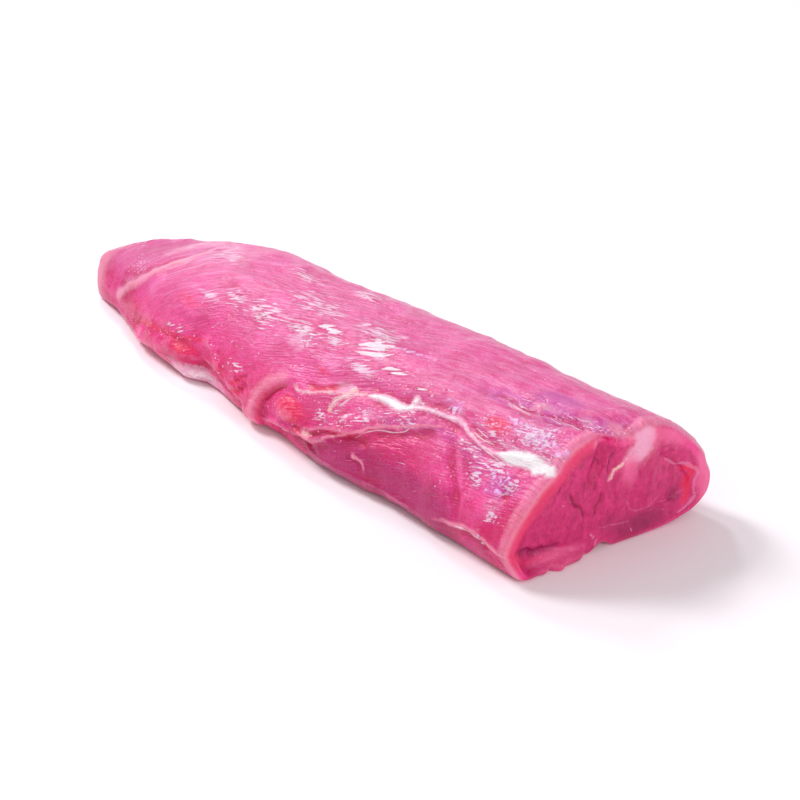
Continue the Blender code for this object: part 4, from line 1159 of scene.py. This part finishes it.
cords, given, source = shape_tree("cords on paths", {
    "Paths": "Geometry", "Step": "Float", "Sides": "Int", "Lumpy": "Float", "Material": "Material"}, "Cords")
curves = node(cords, "GeometryNodeMeshToCurve", {"Mesh": source["Paths"]})
curves = node(cords, "GeometryNodeResampleCurve", {"Curve": curves, "Length": source["Step"]}, mode="LENGTH")
lumps = node(cords, "ShaderNodeTexNoise", {"Scale": 1 / (THREAD_LUMP * MM), "Detail": 1.0})
lumps = node(cords, "ShaderNodeMath", {
    0: lumps, 1: source["Lumpy"], 2: THREAD_LUMP_LEAST}, operation="MULTIPLY_ADD")
here = node(cords, "GeometryNodeInputNamedAttribute", {"Name": "radius_here"}, data_type="FLOAT")
here = node(cords, "ShaderNodeMath", {0: here, 1: lumps}, operation="MULTIPLY")
ring = node(cords, "GeometryNodeCurvePrimitiveCircle", {"Resolution": source["Sides"], "Radius": 1.0})
tubes = node(cords, "GeometryNodeCurveToMesh", {
    "Curve": curves, "Profile Curve": ring, "Scale": here, "Fill Caps": True})
end_of_tree(cords, tubes, source["Material"], "Cords")


def settled(piece, tree, sockets, values):
    """Runs the tree on the piece with these values and keeps the result as a plain mesh."""
    modifier = piece.modifiers.new(tree.name, "NODES")
    modifier.node_group = tree
    for name, value in values.items():
        modifier[sockets[name].identifier] = value
    bpy.context.view_layer.update()
    made = bpy.data.meshes.new_from_object(piece.evaluated_get(bpy.context.evaluated_depsgraph_get()))
    piece.modifiers.remove(modifier)
    piece.data = made


settled(threads, cords, given, {
    "Step": THREAD_STEP * MM, "Sides": THREAD_SIDES, "Lumpy": THREAD_LUMPY, "Material": fat_thread})
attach(threads, "root")
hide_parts("tenderloin")


# Beads of meat juice: the film of juice draws together into drops under a millimetre wide where the meat
# has dried a little, on the tail and along the seam. They cling where they stand and catch the light as
# small white sparks, helped by a colour paler than the juice has, which is painted highlight.
BEADS_EACH_SQUARE = 0.26
BEAD_GAP = 0.6
BEAD_RADIUS = (0.16, 0.38)
BEAD_FLAT = 0.6
BEAD_SEED = 8
BEAD_SIDES = 8
BEAD_RINGS = 5

# Meat juice: thin and pink, and so smooth that each drop shows one hard glint; its pale colour is partly a
# painted highlight, so that the drops read as sparks
juice = material("meat juice", {"Base Color": tint("#f7b4d2"), "Roughness": 0.08, "IOR": 1.35})

drops, given, source = shape_tree("drops on a skin", {
    "Ground": "Geometry", "Gap": "Float", "Density": "Float", "Smallest": "Float", "Largest": "Float",
    "Flat": "Float", "Seed": "Int", "Material": "Material"}, "Drops")
dewy = node(drops, "GeometryNodeInputNamedAttribute", {"Name": "dew"}, data_type="FLOAT")
scattered = node(drops, "GeometryNodeDistributePointsOnFaces", {
    "Mesh": source["Ground"], "Distance Min": source["Gap"], "Density Max": source["Density"],
    "Density Factor": dewy, "Seed": source["Seed"]}, distribute_method="POISSON").node
size = node(drops, "FunctionNodeRandomValue", {
    "Min": source["Smallest"], "Max": source["Largest"], "Seed": source["Seed"]}, data_type="FLOAT")
high = node(drops, "ShaderNodeMath", {0: size, 1: source["Flat"]}, operation="MULTIPLY")
flat = node(drops, "ShaderNodeCombineXYZ", {"X": size, "Y": size, "Z": high})
drop = node(drops, "GeometryNodeMeshUVSphere", {"Segments": BEAD_SIDES, "Rings": BEAD_RINGS, "Radius": 1.0})
beads = node(drops, "GeometryNodeInstanceOnPoints", {
    "Points": scattered.outputs["Points"], "Instance": drop, "Rotation": scattered.outputs["Rotation"],
    "Scale": flat})
end_of_tree(drops, beads, source["Material"], "Drops")

dew = placed("juice_beads", muscle.data.copy())
settled(dew, drops, given, {
    "Gap": BEAD_GAP * MM, "Density": BEADS_EACH_SQUARE / MM ** 2, "Smallest": BEAD_RADIUS[0] * MM,
    "Largest": BEAD_RADIUS[1] * MM, "Flat": BEAD_FLAT, "Seed": BEAD_SEED, "Material": juice})
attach(dew, "root")
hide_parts("tenderloin")


# The setting: a plain pale floor that runs out past the view, under a pale sky, so that the meat lies on
# white and nothing dark is mirrored in its wet skin.
FLOOR_HALF = 6.0

floor_mesh = bpy.data.meshes.new("floor")
corners = [(x * FLOOR_HALF, y * FLOOR_HALF, 0) for x, y in ((-1, -1), (1, -1), (1, 1), (-1, 1))]
floor_mesh.from_pydata(corners, [], [(0, 1, 2, 3)])
floor = placed("floor", floor_mesh)

# White paper: bright and matt, so that nothing of the muscle is mirrored in it
paper = material("white paper", {"Base Color": tint("#ffffff"), "Roughness": 0.9})
floor.data.materials.append(paper)

sky = bpy.data.worlds.new("sky")
bpy.context.scene.world = sky
sky.use_nodes = True
sky.node_tree.nodes["Background"].inputs["Color"].default_value = tint("#fdfbff")
sky.node_tree.nodes["Background"].inputs["Strength"].default_value = 0.47
bpy.context.scene.view_settings.view_transform = "Standard"


# The lights: a soft box high over the tail, whose light slides off the wet top and the front shoulder towards
# the camera, a small one behind it that lays a sheen on the top, and a wide weak one before the cut end.
def soft_box(name, place, aim, size, power, colour):
    """A square lamp at this place, turned to its aim."""
    lamp = bpy.data.lights.new(name, "AREA")
    lamp.size = size
    lamp.energy = power
    lamp.color = tint(colour)[:3]
    holder = placed(name, lamp)
    holder.location = place
    holder.rotation_euler = (Vector(aim) - Vector(place)).to_track_quat("-Z", "Y").to_euler()


MIDDLE = (0.0, 0.0, 0.02)
soft_box("key", (-0.72, -0.2, 0.8), MIDDLE, size=0.3, power=7.0, colour="#fffaff")
soft_box("sheen", (-0.72, 0.3, 0.77), MIDDLE, size=0.16, power=2.2, colour="#fdf8ff")
soft_box("fill", (0.85, -0.2, 0.5), MIDDLE, size=0.7, power=3.2, colour="#fff6fa")


# The camera: to the right of the cut end, looking down on the muscle from the side of its low front, at the
# angle that was fitted to the photo.
CAMERA_AZIMUTH = np.radians(49.0)
CAMERA_ELEVATION = np.radians(29.5)
CAMERA_DISTANCE = 0.650
CAMERA_TARGET = Vector((0.02944, -0.00591, 0.015))
SENSOR = 36.0
FOCAL_SHARE = 2.6

back = Vector((np.sin(CAMERA_AZIMUTH) * np.cos(CAMERA_ELEVATION),
               -np.cos(CAMERA_AZIMUTH) * np.cos(CAMERA_ELEVATION), np.sin(CAMERA_ELEVATION)))
camera = placed("camera", bpy.data.cameras.new("camera"))
camera.data.sensor_width = SENSOR
camera.data.lens = FOCAL_SHARE * SENSOR
camera.data.clip_start = 0.01
camera.location = CAMERA_TARGET + back * CAMERA_DISTANCE
camera.rotation_euler = back.to_track_quat("Z", "Y").to_euler()
bpy.context.scene.camera = camera
